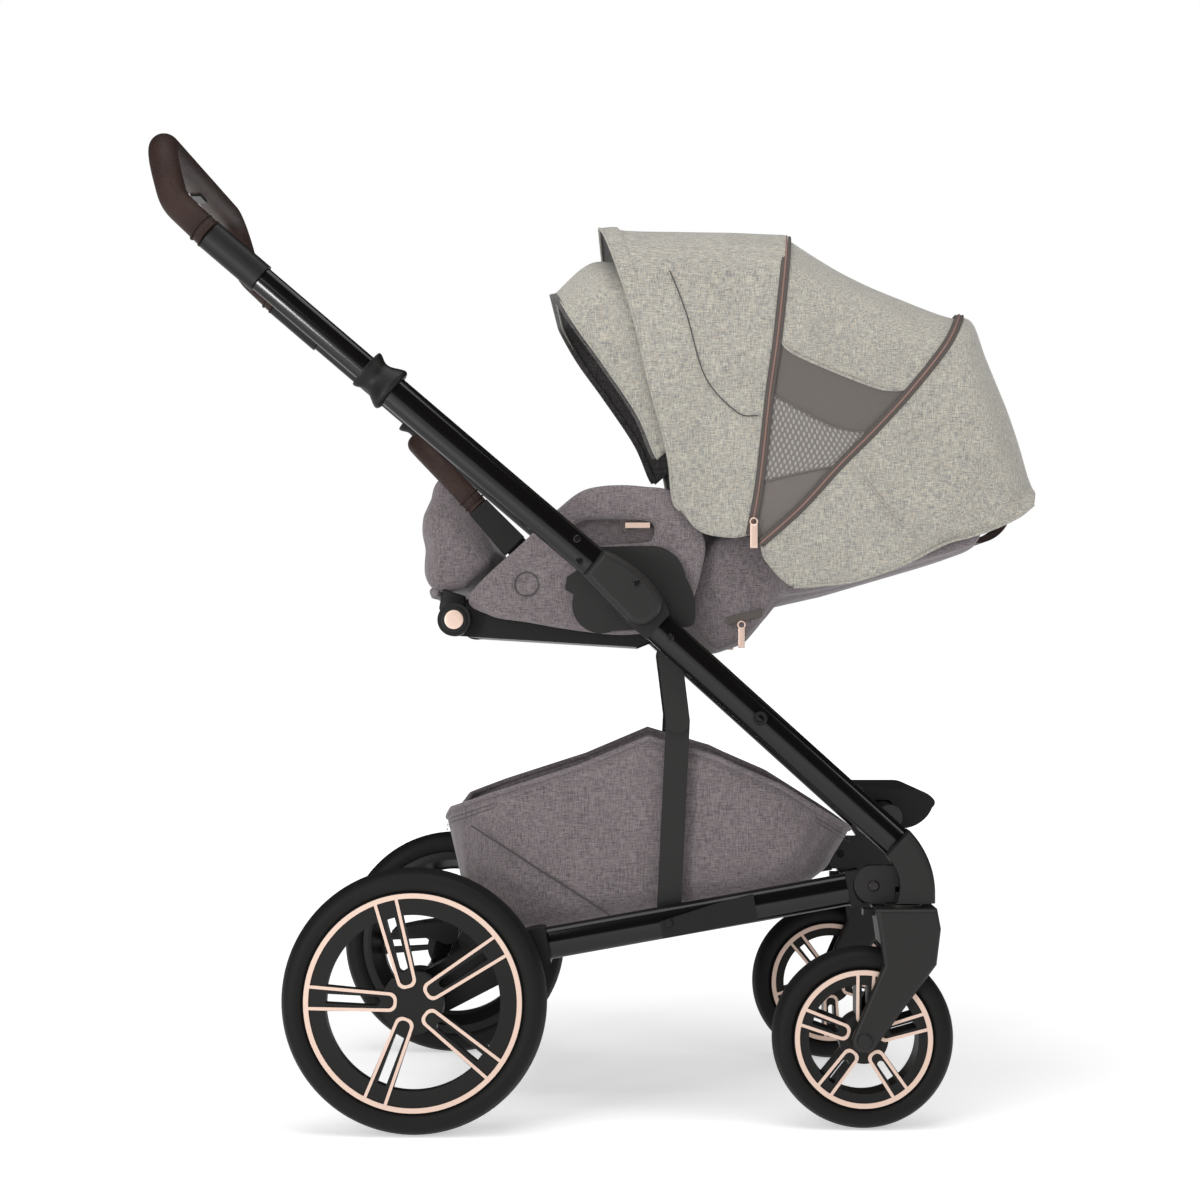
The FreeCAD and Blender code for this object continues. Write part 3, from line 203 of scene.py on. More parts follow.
# %% Melange cloth, moulded grain and hide
melange, start, end = new_group(
    "melange",
    [("Vector", "Vector", None), ("Light", "Color", (0.6, 0.6, 0.6, 1)),
     ("Dark", "Color", (0.2, 0.2, 0.2, 1)),
     ("Fleck", "Color", (0.5, 0.4, 0.3, 1)),
     ("Contrast", "Float", 0.12)],
    [("Color", "Color"), ("Height", "Float")])
where = start.outputs["Vector"]
weft = stretched_noise(melange, where, (95, 1000, 1000))
warp = stretched_noise(melange, where, (1000, 1000, 95))
yarn = maths(melange, "MULTIPLY", maths(melange, "ADD", weft, warp), 0.5)
low = maths(melange, "SUBTRACT", 0.5, start.outputs["Contrast"])
high = maths(melange, "ADD", 0.5, start.outputs["Contrast"])
colour = blend_colour(melange, ramp(melange, yarn, low, high), start.outputs["Dark"],
                      start.outputs["Light"])
flecks = ramp(melange, stretched_noise(melange, where, (230, 900, 900), 1.0), 0.62, 0.70)
colour = blend_colour(melange, flecks, colour, start.outputs["Fleck"])
cloudy = stretched_noise(melange, where, (14, 14, 14), 1.0)
brightness = maths(melange, "ADD", 0.9, maths(melange, "MULTIPLY", cloudy, 0.2))
shade = node(melange, "HueSaturation", {"Color": colour, "Value": brightness})
melange.links.new(shade.outputs[0], end.inputs["Color"])
fine = stretched_noise(melange, where, (1500, 1500, 1500), 0.0)
melange.links.new(maths(melange, "ADD", yarn, maths(melange, "MULTIPLY", fine, 0.4)),
                  end.inputs["Height"])

grain, start, end = new_group(
    "grain", [("Vector", "Vector", None), ("Size", "Float", 900.0),
              ("Roughness", "Float", 0.4), ("Spread", "Float", 0.08)],
    [("Roughness", "Float"), ("Height", "Float")])
pits = node(grain, "TexNoise", {"Vector": start.outputs["Vector"],
                                          "Scale": start.outputs["Size"], "Detail": 2.0})
patches = node(grain, "TexNoise", {"Vector": start.outputs["Vector"], "Scale": 30.0})
uneven = maths(grain, "MULTIPLY", maths(grain, "SUBTRACT", patches.outputs[0], 0.5),
               start.outputs["Spread"])
grain.links.new(maths(grain, "ADD", start.outputs["Roughness"], uneven), end.inputs["Roughness"])
grain.links.new(pits.outputs[0], end.inputs["Height"])

hide, start, end = new_group(
    "hide", [("Vector", "Vector", None), ("Light", "Color", (0.08, 0.05, 0.04, 1)),
             ("Dark", "Color", (0.03, 0.02, 0.018, 1))],
    [("Color", "Color"), ("Height", "Float")])
cells = node(hide, "TexVoronoi", {"Vector": start.outputs["Vector"], "Scale": 520.0},
             feature="DISTANCE_TO_EDGE")
crease = ramp(hide, cells.outputs[0], 0.0, 0.25)
broad = node(hide, "TexNoise", {"Vector": start.outputs["Vector"], "Scale": 22.0,
                                          "Detail": 3.0})
mottle = maths(hide, "MULTIPLY", crease, ramp(hide, broad.outputs[0], 0.3, 0.7))
hide.links.new(blend_colour(hide, mottle, start.outputs["Dark"], start.outputs["Light"]),
               end.inputs["Color"])
hide.links.new(crease, end.inputs["Height"])
print("effects:", melange.name, grain.name, hide.name)


# %% [markdown]
# ## Finishes
# The tubes are glossy black lacquer, the fittings satin or greyish black plastic, the trims a pale
# rose metal. Canopy and seat are melange cloths, light grey and mauve grey. Each is one Principled
# shader: what is the same all over sits on its own sockets, and a shared effect gives the rest.

# %% Finishes
def finish(name, colour, roughness, **settings):
    """Material with its Principled shader set; returns the material, its nodes' tree and shader."""
    material = bpy.data.materials.new(name)
    material.use_nodes = True
    tree = material.node_tree
    shader = tree.nodes["Principled BSDF"]
    shader.inputs["Base Color"].default_value = (*colour, 1)
    shader.inputs["Roughness"].default_value = roughness
    for key, value in settings.items():
        shader.inputs[key.replace("_", " ")].default_value = value
    return material, tree, shader


def place_of(tree, socket="Object"):
    """Coordinates that a pattern reads: the object's own, or its UV map."""
    return tree.nodes.new("ShaderNodeTexCoord").outputs[socket]


def add_bump(tree, shader, height, depth):
    """Fine relief: a height map, whose full range is depth metres, tilts the normals."""
    bump = node(tree, "Bump", {"Height": height, "Distance": depth, "Strength": 1.0})
    tree.links.new(bump.outputs[0], shader.inputs["Normal"])


def moulded(name, colour, roughness, size=900.0, depth=0.00006, spread=0.1, **settings):
    """Paint, plastic or rubber with a fine grain."""
    material, tree, shader = finish(name, colour, roughness, **settings)
    effect = node(tree, "Group", node_tree=grain)
    tree.links.new(place_of(tree), effect.inputs["Vector"])
    effect.inputs["Size"].default_value = size
    effect.inputs["Roughness"].default_value = roughness
    effect.inputs["Spread"].default_value = spread
    tree.links.new(effect.outputs["Roughness"], shader.inputs["Roughness"])
    add_bump(tree, shader, effect.outputs["Height"], depth)
    return material


def woven(name, light, dark, fleck, contrast=0.12, fine=1.0, depth=0.0004):
    """Melange cloth; fine makes its threads thinner."""
    material, tree, shader = finish(name, dark, 0.92, Sheen_Weight=0.25, Sheen_Roughness=0.5)
    effect = node(tree, "Group", node_tree=melange)
    where = node(tree, "VectorMath", {0: place_of(tree), "Scale": fine}, operation="SCALE")
    tree.links.new(where.outputs[0], effect.inputs["Vector"])
    for key, value in (("Light", light), ("Dark", dark), ("Fleck", fleck)):
        effect.inputs[key].default_value = (*value, 1)
    effect.inputs["Contrast"].default_value = contrast
    tree.links.new(effect.outputs["Color"], shader.inputs["Base Color"])
    add_bump(tree, shader, effect.outputs["Height"], depth)
    return material


gloss_black = moulded("gloss_black_tube", (0.003, 0.0026, 0.0025), 0.14, 260, 0.0000015, 0.03,
                      Specular_IOR_Level=0.35)
satin_black = moulded("satin_black_plastic", (0.007, 0.0065, 0.0062), 0.42, Specular_IOR_Level=0.22)
grey_black = moulded("grey_black_plastic", (0.014, 0.013, 0.0125), 0.46, Specular_IOR_Level=0.28)
rubber = moulded("tyre_rubber", (0.006, 0.0056, 0.0054), 0.62, 700, 0.00012, Specular_IOR_Level=0.2)
copper = moulded("rose_copper", (0.70, 0.52, 0.43), 0.36, 500, 0.00002, 0.06, Metallic=0.45)
bright_screw = moulded("screw_black", (0.03, 0.028, 0.028), 0.18, 400, 0.00002, 0.05, Metallic=0.9)
tape = moulded("zip_tape", (0.075, 0.062, 0.056), 0.8, 1600, 0.0002)
lining = woven("dark_lining", (0.085, 0.08, 0.078), (0.03, 0.028, 0.028), (0.06, 0.055, 0.052), 0.1)
canopy_cloth = woven("canopy_cloth", (0.42, 0.40, 0.335), (0.165, 0.165, 0.165), (0.40, 0.32, 0.23),
                     0.15, 1.35)
seat_cloth = woven("seat_cloth", (0.205, 0.173, 0.179), (0.078, 0.065, 0.069), (0.17, 0.143, 0.15),
                   0.16, 1.15)

leather, tree, shader = finish("brown_leather", (0.05, 0.03, 0.026), 0.52, Specular_IOR_Level=0.18)
effect = node(tree, "Group", node_tree=hide)
tree.links.new(place_of(tree), effect.inputs["Vector"])
effect.inputs["Light"].default_value = (0.044, 0.023, 0.018, 1)
effect.inputs["Dark"].default_value = (0.022, 0.0115, 0.0095, 1)
tree.links.new(effect.outputs["Color"], shader.inputs["Base Color"])
add_bump(tree, shader, effect.outputs["Height"], 0.0002)

seam_dark = moulded("seam_thread_dark", (0.06, 0.055, 0.055), 0.8, 1500, 0.0001)
seam_light = moulded("seam_thread_light", (0.34, 0.31, 0.29), 0.8, 1500, 0.0001)


def dotted_mesh(name, base, dot, pitch=0.0064):
    """Window fabric: rows of light oval dots, every second row shifted by half a step."""
    material, tree, shader = finish(name, base, 0.75)
    rows = (1 / pitch, 0.55 / pitch, 0)
    where = node(tree, "VectorMath", {0: place_of(tree, "UV"), 1: rows},
                 operation="MULTIPLY").outputs[0]
    parts = []
    for shift in ((0, 0, 0), (0.5, 0.5, 0)):
        moved = node(tree, "VectorMath", {0: where, 1: shift}, operation="ADD").outputs[0]
        cell = node(tree, "VectorMath", {0: moved}, operation="FRACTION").outputs[0]
        centred = node(tree, "VectorMath", {0: cell, 1: (0.5, 0.5, 0)},
                       operation="SUBTRACT").outputs[0]
        size = node(tree, "VectorMath", {0: centred}, operation="LENGTH").outputs["Value"]
        parts.append(maths(tree, "SUBTRACT", 1.0, ramp(tree, size, 0.17, 0.3)))
    dots = maths(tree, "MAXIMUM", parts[0], parts[1])
    ribs = stretched_noise(tree, place_of(tree, "UV"), (1800, 300, 1), 1.0)
    tone = blend_colour(tree, ribs, (*base, 1), tuple(1.5 * c for c in base) + (1,))
    colour = blend_colour(tree, dots, tone, (*dot, 1))
    tree.links.new(colour, shader.inputs["Base Color"])
    add_bump(tree, shader, dots, 0.0004)
    return material


window_mesh = dotted_mesh("window_mesh", (0.115, 0.102, 0.092), (0.27, 0.26, 0.25))
window_band = dotted_mesh("window_band", (0.10, 0.088, 0.08), (0.112, 0.098, 0.09), 0.0016)
window_foot = dotted_mesh("window_foot", (0.125, 0.11, 0.10), (0.14, 0.122, 0.112), 0.0016)
print("finishes:", len(bpy.data.materials))

# %% [markdown]
# ## CAD pieces
# A CAD piece keeps its shape and gets one finish. Pieces that come in a right and a left one share a
# name up to the side, so a list of stems is enough for them.

# %% Paint the CAD pieces
PAIRED = {
    gloss_black: ["leg_tube", "arm_tube", "inner_tube", "side_rail"],
    grey_black: ["arm_hub_cover", "leg_hub", "elbow", "caster_fork"],
    satin_black: ["caster_lock", "rear_rim", "front_rim"],
    rubber: ["rear_tyre", "front_tyre"],
    copper: ["rear_trim", "front_trim"],
}
SINGLE = {
    gloss_black: ["front_cross_tube", "rear_axle"],
    satin_black: ["accessory_sockets", "handle_button", "rail_collars", "axle_housings",
                  "strut_brackets", "brake_pedal", "seat_frame", "bumper_clips", "telescope_collars",
                  "handle_collars", "footplate"],
    grey_black: ["seat_hub_plates", "upper_struts", "lower_struts"],
    bright_screw: ["frame_screws", "arm_screws"],
    copper: ["release_buttons"],
    leather: ["handle_grip", "bumper_grip", "recline_handle"],
}
for material, names in PAIRED.items():
    SINGLE[material] = SINGLE.get(material, []) + [f"{n}_{word}" for n in names for word in SIDES]
for material, names in SINGLE.items():
    for name in names:
        mesh = frame["nodes"][name].data
        mesh.materials.clear()
        mesh.materials.append(material)
print("CAD pieces painted:", sum(map(len, SINGLE.values())))

# %% [markdown]
# ## Tools for cloth
# Every sewn piece is a grid of points worked out by a formula. These helpers turn a few points into
# a smooth line, a grid into a mesh with cloth-sized UVs, and a line into a rod, a tape or a row of
# stitches. All of them work on whole arrays.

# %% Lines
def evenly(line, count, closed=False):
    """The line with count points at equal distances along it."""
    line = np.asarray(line, float)
    if closed:
        line = np.concatenate([line, line[:1]])
    along = np.concatenate([[0], np.cumsum(np.linalg.norm(np.diff(line, axis=0), axis=1))])
    stops = np.linspace(0, along[-1], count + closed)[:count]
    return np.stack([np.interp(stops, along, axis) for axis in line.T], axis=1)


def smooth(points, count, closed=False):
    """Catmull-Rom curve: each span is the cubic set by its two ends and their neighbours."""
    p = np.asarray(points, float)
    before, after = (p[-1:], p[:2]) if closed else (2 * p[:1] - p[1:2], 2 * p[-1:] - p[-2:-1])
    q = np.concatenate([before, p, after])
    t = np.linspace(0, 1, 16, endpoint=False)[:, None, None]
    a, b, c, d = q[:-3], q[1:-2], q[2:-1], q[3:]
    spans = b + 0.5 * t * (c - a + t * (2 * a - 5 * b + 4 * c - d + t * (3 * b - a - 3 * c + d)))
    line = spans.transpose(1, 0, 2).reshape(-1, p.shape[1])
    return evenly(line if closed else np.concatenate([line, p[-1:]]), count, closed)


def at(line, t):
    """Points of an evenly spaced line at shares t of its length."""
    share = np.linspace(0, 1, len(line))
    return np.stack([np.interp(t, share, axis) for axis in line.T], axis=-1)


def in_side_view(line, y):
    """Side view line (x, z) set at a distance y from the middle plane."""
    return np.stack([line[:, 0], np.broadcast_to(y, len(line)), line[:, 1]], axis=1)


def unit(v):
    return v / np.maximum(np.linalg.norm(v, axis=-1, keepdims=True), 1e-12)


# %% Meshes
def grid_piece(name, grid, material, wrap=(False, False), closed=False):
    """Mesh of a rows x columns grid of points; its UVs are distances along the grid, in metres."""
    rows, cols = grid.shape[:2]
    index = np.arange(rows * cols).reshape(rows, cols)
    down, over = (np.linalg.norm(np.diff(grid, axis=k), axis=2) for k in (0, 1))
    u = np.concatenate([np.zeros((1, cols)), np.cumsum(down, 0)])
    v = np.concatenate([np.zeros((rows, 1)), np.cumsum(over, 1)], 1)
    v = v - v[:, cols // 2:cols // 2 + 1]
    if wrap[0]:
        index, u, v = (np.vstack([a, a[:1]]) for a in (index, u, v))
    if wrap[1]:
        index, u, v = (np.hstack([a, a[:, :1]]) for a in (index, u, v))
    corners = [(slice(None, -1), slice(None, -1)), (slice(1, None), slice(None, -1)),
               (slice(1, None), slice(1, None)), (slice(None, -1), slice(1, None))]
    faces = np.stack([index[c] for c in corners], -1).reshape(-1, 4)
    uvs = np.stack([np.stack([u[c], v[c]], -1) for c in corners], 2).reshape(-1, 2)
    mesh = bpy.data.meshes.new(name)
    mesh.from_pydata(grid.reshape(-1, 3).tolist(), [], faces.tolist())
    mesh.uv_layers.new(name="UVMap").data.foreach_set("uv", uvs.astype(np.float32).ravel())
    heal(mesh, closed)
    return mesh_piece(name, mesh, material)


def heal(mesh, outward):
    """Merges doubled points, drops empty faces and turns the faces of a closed shape outwards."""
    work = bmesh.new()
    work.from_mesh(mesh)
    bmesh.ops.remove_doubles(work, verts=work.verts, dist=1e-6)
    bmesh.ops.dissolve_degenerate(work, edges=work.edges, dist=1e-6)
    if outward:
        bmesh.ops.recalc_face_normals(work, faces=work.faces)
    work.to_mesh(mesh)
    work.free()


def mesh_piece(name, mesh, material):
    """Object for a mesh, smooth shaded, with its material."""
    mesh.materials.append(material)
    mesh.polygons.foreach_set("use_smooth", np.ones(len(mesh.polygons), bool))
    item = bpy.data.objects.new(name, mesh)
    bpy.context.scene.collection.objects.link(item)
    return item


def thicken(item, depth, offset=-1, inside=None):
    """Gives a sheet its thickness, with a material of its own on the inside if asked."""
    wall = item.modifiers.new("wall", "SOLIDIFY")
    wall.thickness, wall.offset, wall.use_even_offset = depth, offset, False
    if inside:
        item.data.materials.append(inside)
        wall.material_offset = 1
    return item


def rod(name, path, radius, up, material, sides=10, closed=False):
    """Round rod: a circle across the path, turned by the path's tangent and the up direction."""
    path = np.asarray(path, float)
    ahead = np.roll(path, -1, 0) - np.roll(path, 1, 0) if closed else np.gradient(path, axis=0)
    ahead = unit(ahead)
    aside = unit(np.cross(ahead, np.broadcast_to(up, path.shape)))
    over = np.cross(aside, ahead)
    angle = np.linspace(0, 2 * np.pi, sides, endpoint=False)
    size = np.broadcast_to(radius, len(path))[:, None, None]
    cos, sin = np.cos(angle)[None, :, None], np.sin(angle)[None, :, None]
    grid = path[:, None] + (aside[:, None] * cos + over[:, None] * sin) * size
    if not closed:
        ends = [np.repeat(path[k][None, None], sides, 1) for k in (0, -1)]
        grid = np.concatenate([ends[0], grid, ends[1]])
    return grid_piece(name, grid, material, wrap=(closed, True), closed=True)


def band(name, path, across, out, width, depth, material, lift=0.0):
    """Flat tape: a rounded rectangle carried along the path, its width along across."""
    angle = np.linspace(0, 2 * np.pi, 16, endpoint=False)
    wide = np.sign(np.cos(angle)) * np.abs(np.cos(angle)) ** 0.4 * width / 2
    high = np.sign(np.sin(angle)) * np.abs(np.sin(angle)) ** 0.7 * depth / 2 + lift
    grid = path[:, None] + across[:, None] * wide[None, :, None] + out[:, None] * high[None, :, None]
    ends = [np.repeat(grid[k].mean(0)[None, None], 16, 1) for k in (0, -1)]
    return grid_piece(name, np.concatenate([ends[0], grid, ends[1]]), material, wrap=(False, True),
                      closed=True)


def stitches(name, path, out, material, length=0.0032, gap=0.0022, radius=0.0004):
    """Row of stitches: each is a short spindle of six points that lies on the surface."""
    total = np.linalg.norm(np.diff(path, axis=0), axis=1).sum()
    count = max(int(total / (length + gap)), 2)
    middle = (np.arange(count) + 0.5) / count
    centre = at(path, middle)
    ahead = unit(at(path, middle + 0.3 / count) - at(path, middle - 0.3 / count))
    up = unit(at(np.broadcast_to(out, path.shape), middle))
    aside = np.cross(ahead, up)
    points = np.stack([centre - ahead * length / 2, centre + up * radius * 1.4, centre + aside * radius,
                       centre - up * radius, centre - aside * radius, centre + ahead * length / 2], 1)
    shape = np.array([[0, 2, 1], [0, 3, 2], [0, 4, 3], [0, 1, 4],
                      [5, 1, 2], [5, 2, 3], [5, 3, 4], [5, 4, 1]])
    faces = (np.arange(count)[:, None, None] * 6 + shape[None]).reshape(-1, 3)
    mesh = bpy.data.meshes.new(name)
    mesh.from_pydata(points.reshape(-1, 3).tolist(), [], faces.tolist())
    return mesh_piece(name, mesh, material)


def fit(item, body, slot, *replaced):
    """Piece rides on a body and may stand for CAD nodes, which it hides; slot is not used."""
    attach(item, body)
    if replaced:
        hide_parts(*replaced)
    return item


# %% [markdown]
# ## Swelling
# Wadding fills its cover until the seams hold it. Pressure in a Cloth simulation does the same, and
# each point is then held back to a set distance, so the piece keeps its place in the frame.

# %% Swelling by cloth simulation
def swell(item, cap, voxel=0.0055, pressure=4.0):
    """Remeshes a closed piece and blows it up with Cloth; no point moves further than cap."""
    remesh = item.modifiers.new("remesh", "REMESH")
    remesh.mode, remesh.voxel_size = "VOXEL", voxel
    apply_all(item)
    rest = points_of(item)
    cloth = item.modifiers.new("cloth", "CLOTH")
    cloth.settings.use_pressure = True
    cloth.settings.uniform_pressure_force = pressure
    cloth.settings.effector_weights.gravity = 0
    scene = bpy.context.scene
    for step in range(1, 21):
        scene.frame_set(step)
    apply_all(item)
    scene.frame_set(1)
    moved = points_of(item) - rest
    far = np.linalg.norm(moved, axis=1, keepdims=True)
    held = rest + moved * np.minimum(1, cap / np.maximum(far, 1e-9))
    item.data.vertices.foreach_set("co", held.astype(np.float32).ravel())
    rounder = item.modifiers.new("rounder", "SUBSURF")
    rounder.levels = rounder.render_levels = 1
    item.data.polygons.foreach_set("use_smooth", np.ones(len(item.data.polygons), bool))
    return item


def points_of(item):
    """Places of a mesh's points as an array of rows (x, y, z)."""
    flat = np.zeros(3 * len(item.data.vertices), np.float32)
    item.data.vertices.foreach_get("co", flat)
    return flat.reshape(-1, 3).astype(float)


def apply_all(item):
    """Replaces a piece's mesh by what its modifiers make of it."""
    graph = bpy.context.evaluated_depsgraph_get()
    mesh = bpy.data.meshes.new_from_object(item.evaluated_get(graph))
    materials = list(item.data.materials)
    item.modifiers.clear()
    item.data = mesh
    if not mesh.materials:
        for material in materials:
            mesh.materials.append(material)


# %% [markdown]
# ## Canopy
# The canopy is cloth pulled over hoops. Each panel hangs between two hoops, so it is a patch between
# four side view curves that is carried round an arch: flat over the top, a rounded shoulder, and
# straight down each side. Zips join the panels, and the middle panel has windows in its sides.

# %% Canopy formulas
HALF, SHOULDER = 0.1910, 0.060


def patch(first, last, base, top, u, t):
    """Coons patch: the blend of the two hoops plus the blend of base and top, less the corners."""
    u, t = u[..., None], t[..., None]
    corners = ((1 - u) * ((1 - t) * first[0] + t * first[-1])
               + u * ((1 - t) * last[0] + t * last[-1]))
    hoops = (1 - u) * at(first, t[..., 0]) + u * at(last, t[..., 0])
    rims = (1 - t) * at(base, u[..., 0]) + t * at(top, u[..., 0])
    return hoops + rims - corners


def arch(first, last, base, top, half=HALF, shoulder=SHOULDER, rows=60, cols=181, slack=0.0,
         fold=0.0):
    """Grid of a panel: |y| = min(s, flat) + c sin a and drop = c (1 - cos a) + what hangs below."""
    curves = [smooth(line, 80) for line in (first, last, base, top)]
    u = np.linspace(0, 1, rows)
    steps = np.linspace(0, 1, 33)
    probe = patch(*curves, *np.meshgrid(u, steps, indexing="ij"))
    height = np.linalg.norm(np.diff(probe, axis=1), axis=2).sum(1)[:, None]
    half = np.broadcast_to(half, rows)[:, None]
    deep = np.minimum(shoulder, 0.98 * height)
    flat = half - shoulder
    turn = shoulder * np.pi / 2
    s = np.linspace(-1, 1, cols)[None] * (flat + turn + height - deep)
    out = np.abs(s)
    a = np.clip((out - flat) / shoulder, 0, np.pi / 2)
    y = np.sign(s) * (np.minimum(out, flat) + shoulder * np.sin(a))
    drop = deep * (1 - np.cos(a)) + np.maximum(out - flat - turn, 0)
    t = np.clip(1 - drop / height, 0, 1)
    xz = patch(*curves, u[:, None] + 0 * t, t)
    pull = 4 * u * (1 - u)
    crease = fold * (np.sin(31 * t + 9 * u[:, None]) + 0.6 * np.sin(57 * t - 13 * u[:, None] + 2))
    inward = pull[:, None] * (slack + crease)
    y = y - np.sign(s) * np.sin(a) * inward
    return np.stack([xz[..., 0], y, xz[..., 1] - np.cos(a) * inward], -1)


def hoop_line(curve, half=HALF, shoulder=SHOULDER, count=260):
    """The line of one hoop from foot to foot, with its directions across and out of the cloth."""
    side = smooth(curve, 80)
    grid = arch(side, side + 1e-5, side[:2] * 0 + side[0], side[:2] * 0 + side[-1], half, shoulder, 2,
                count)
    path = evenly(grid[0], count)
    ahead = unit(np.gradient(path, axis=0))
    above = np.stack([0 * path[:, 0], path[:, 1], 0 * path[:, 0]], 1)
    near_top = np.clip((half - np.abs(path[:, 1])) / shoulder, 0, 1)[:, None]
    out = unit(unit(above) * (1 - near_top) + np.array([0, 0, 1.0]) * near_top)
    across = unit(np.cross(ahead, out))
    return path, across, np.cross(across, ahead)


def cloth(item, held, **more):
    """Reads a cut sheet's UVs and does nothing more; held and more are not used. Its size before sewing
    is the span of its UVs, which are distances.
    """
    flat = np.zeros(2 * len(item.data.loops), np.float32)
    item.data.uv_layers[0].data.foreach_get("uv", flat)


# %% Canopy lines
LIP = around(CANOPY, [(-84, 35), (-92, 48), (-98, 100), (-118, 178), (-138, 262), (-165, 341),
                      (-176, 365)])
ZIP_FRONT = around(CANOPY, [(-5, 7), (6, 66), (18, 169), (27, 233), (40, 353)])
ZIP_REAR = around(CANOPY, [(6, -3), (52, 38), (96, 86), (136, 126), (178, 172), (216, 220),
                           (239, 261)])
FRONT_TOP = around(CANOPY, [(-176, 365), (-157, 367), (-146, 363), (-60, 361), (34, 357),
                            (40, 353)])
FRONT_BASE = around(CANOPY, [(-84, 35), (-61, 11), (-27, 4), (-5, 7)])
MID_TOP = around(CANOPY, [(40, 353), (46, 348), (93, 320), (126, 303), (165, 285), (204, 269),
                          (232, 259), (239, 261)])
WINDOW_TOP = around(CANOPY, [(27, 233), (42, 215), (89, 193), (138, 174), (158, 171), (178, 172)])
MESH_TOP = around(CANOPY, [(18, 169), (61, 144), (89, 130), (116, 124), (134, 125)])
MESH_FOOT = around(CANOPY, [(6, 66), (50, 77), (96, 86)])
REAR_TOP = around(CANOPY, [(239, 261), (254, 253), (268, 215), (290, 160), (308, 110), (322, 62)])
REAR_BASE = around(CANOPY, [(6, -3), (12, -22), (44, -52), (94, -48), (121, -43), (167, -27), (215, -3),
                            (243, 5), (270, 14), (300, 28), (318, 42)])

# %% Front panel, visor and linings
front_panel = thicken(grid_piece("canopy_front_panel", arch(
    LIP, ZIP_FRONT, FRONT_BASE, FRONT_TOP, rows=70, slack=0.0015, fold=0.0007), canopy_cloth),
    0.0014, 1, lining)
fit(front_panel, "canopy", "canopy_cloth", "canopy_front")
cloth(front_panel, "stretched", rests_on=["canopy_visor_cloth"])

VISOR_EDGE = np.array([(71, 744), (66, 753), (48, 795), (10, 852), (-23, 898), (-48, 939)]) / 1000
VISOR_BACK = np.array([(92, 762), (88, 800), (74, 870), (56, 948)]) / 1000
VISOR_TOP = np.array([(-48, 939), (-16, 970), (9, 978), (56, 968)]) / 1000
VISOR_FOOT = np.array([(71, 744), (92, 762)]) / 1000
VISOR_BACK[-1] = VISOR_TOP[-1]
VISOR_HALF, VISOR_SHOULDER = 0.1835, 0.056
visor = thicken(grid_piece("canopy_visor_cloth", arch(
    VISOR_EDGE, VISOR_BACK, VISOR_FOOT, VISOR_TOP, VISOR_HALF, VISOR_SHOULDER, rows=40, slack=0.001),
    canopy_cloth), 0.0012, 1, lining)
fit(visor, "visor", "canopy_cloth", "canopy_visor")
cloth(visor, "stretched", rests_on=["canopy_front_panel"])

hem_front, hem_back = VISOR_EDGE + np.array([-0.006, 0.0]), VISOR_EDGE + 0.002
hem = grid_piece("canopy_visor_hem", arch(
    hem_front, hem_back, np.array([hem_front[0], hem_back[0]]),
    np.array([hem_front[-1], hem_back[-1]]), 0.1825, 0.055, rows=5), lining)
fit(thicken(hem, 0.0022, 0), "visor", "canopy_cloth")

for label, curve, half, shoulder, body, radius in (
        ("lip", LIP, HALF, SHOULDER, "canopy", 0.0018),
        ("visor", VISOR_EDGE, VISOR_HALF, VISOR_SHOULDER, "visor", 0.0014)):
    path, across, out = hoop_line(curve, half, shoulder)
    fit(rod(f"canopy_{label}_fold", path + out * 0.0006, radius, (1, 0.001, 0), canopy_cloth, 8),
        body, "canopy_cloth")

FRONT_SEAM = [(60, 1008), (84, 959), (104, 907), (125, 836), (161, 796), (184, 792)]
seam = smooth(np.array(FRONT_SEAM) / 1000, 90)
seam = seam[seam[:, 1] < 0.958]
for word, sign in SIDES.items():
    line = in_side_view(seam, sign * (HALF + 0.0016))
    fit(rod(f"canopy_front_seam_{word}", line, 0.0007, (0, 1, 0), seam_dark, 6), "canopy",
        "canopy_cloth")

# %% [markdown]
# The middle panel is one piece over the top, with a band, a dotted mesh and a plain foot sewn below it
# on each side. It is zipped to the front panel and to the rear one. It and its side pieces stay where
# they are made.


def middle(item):
    """Middle panel piece: its place is baked into its mesh, and it rides on no body."""
    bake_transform(item)
    return item


hood = thicken(grid_piece("canopy_middle_panel", arch(
    ZIP_FRONT[3:], ZIP_REAR[4:], WINDOW_TOP, MID_TOP, rows=60, slack=0.003, fold=0.0008), canopy_cloth),
    0.0014, 1, lining)
middle(hood)
cloth(hood, "stretched", rests_on=["canopy_front_panel"])


def side_sheet(name, first, last, base, top, sign, material, depth, bulge=0.0):
    """Flat panel in a side of the canopy: a Coons patch at a distance y that dips in the middle."""
    curves = [smooth(line, 60) for line in (first, last, base, top)]
    u, t = np.meshgrid(np.linspace(0, 1, 40), np.linspace(0, 1, 30), indexing="ij")
    xz = patch(*curves, u, t)
    dip = bulge * 16 * u * (1 - u) * t * (1 - t)
    grid = np.stack([xz[..., 0], sign * (depth - dip), xz[..., 1]], -1)
    return thicken(grid_piece(name, grid, material), 0.0010, 0, lining)


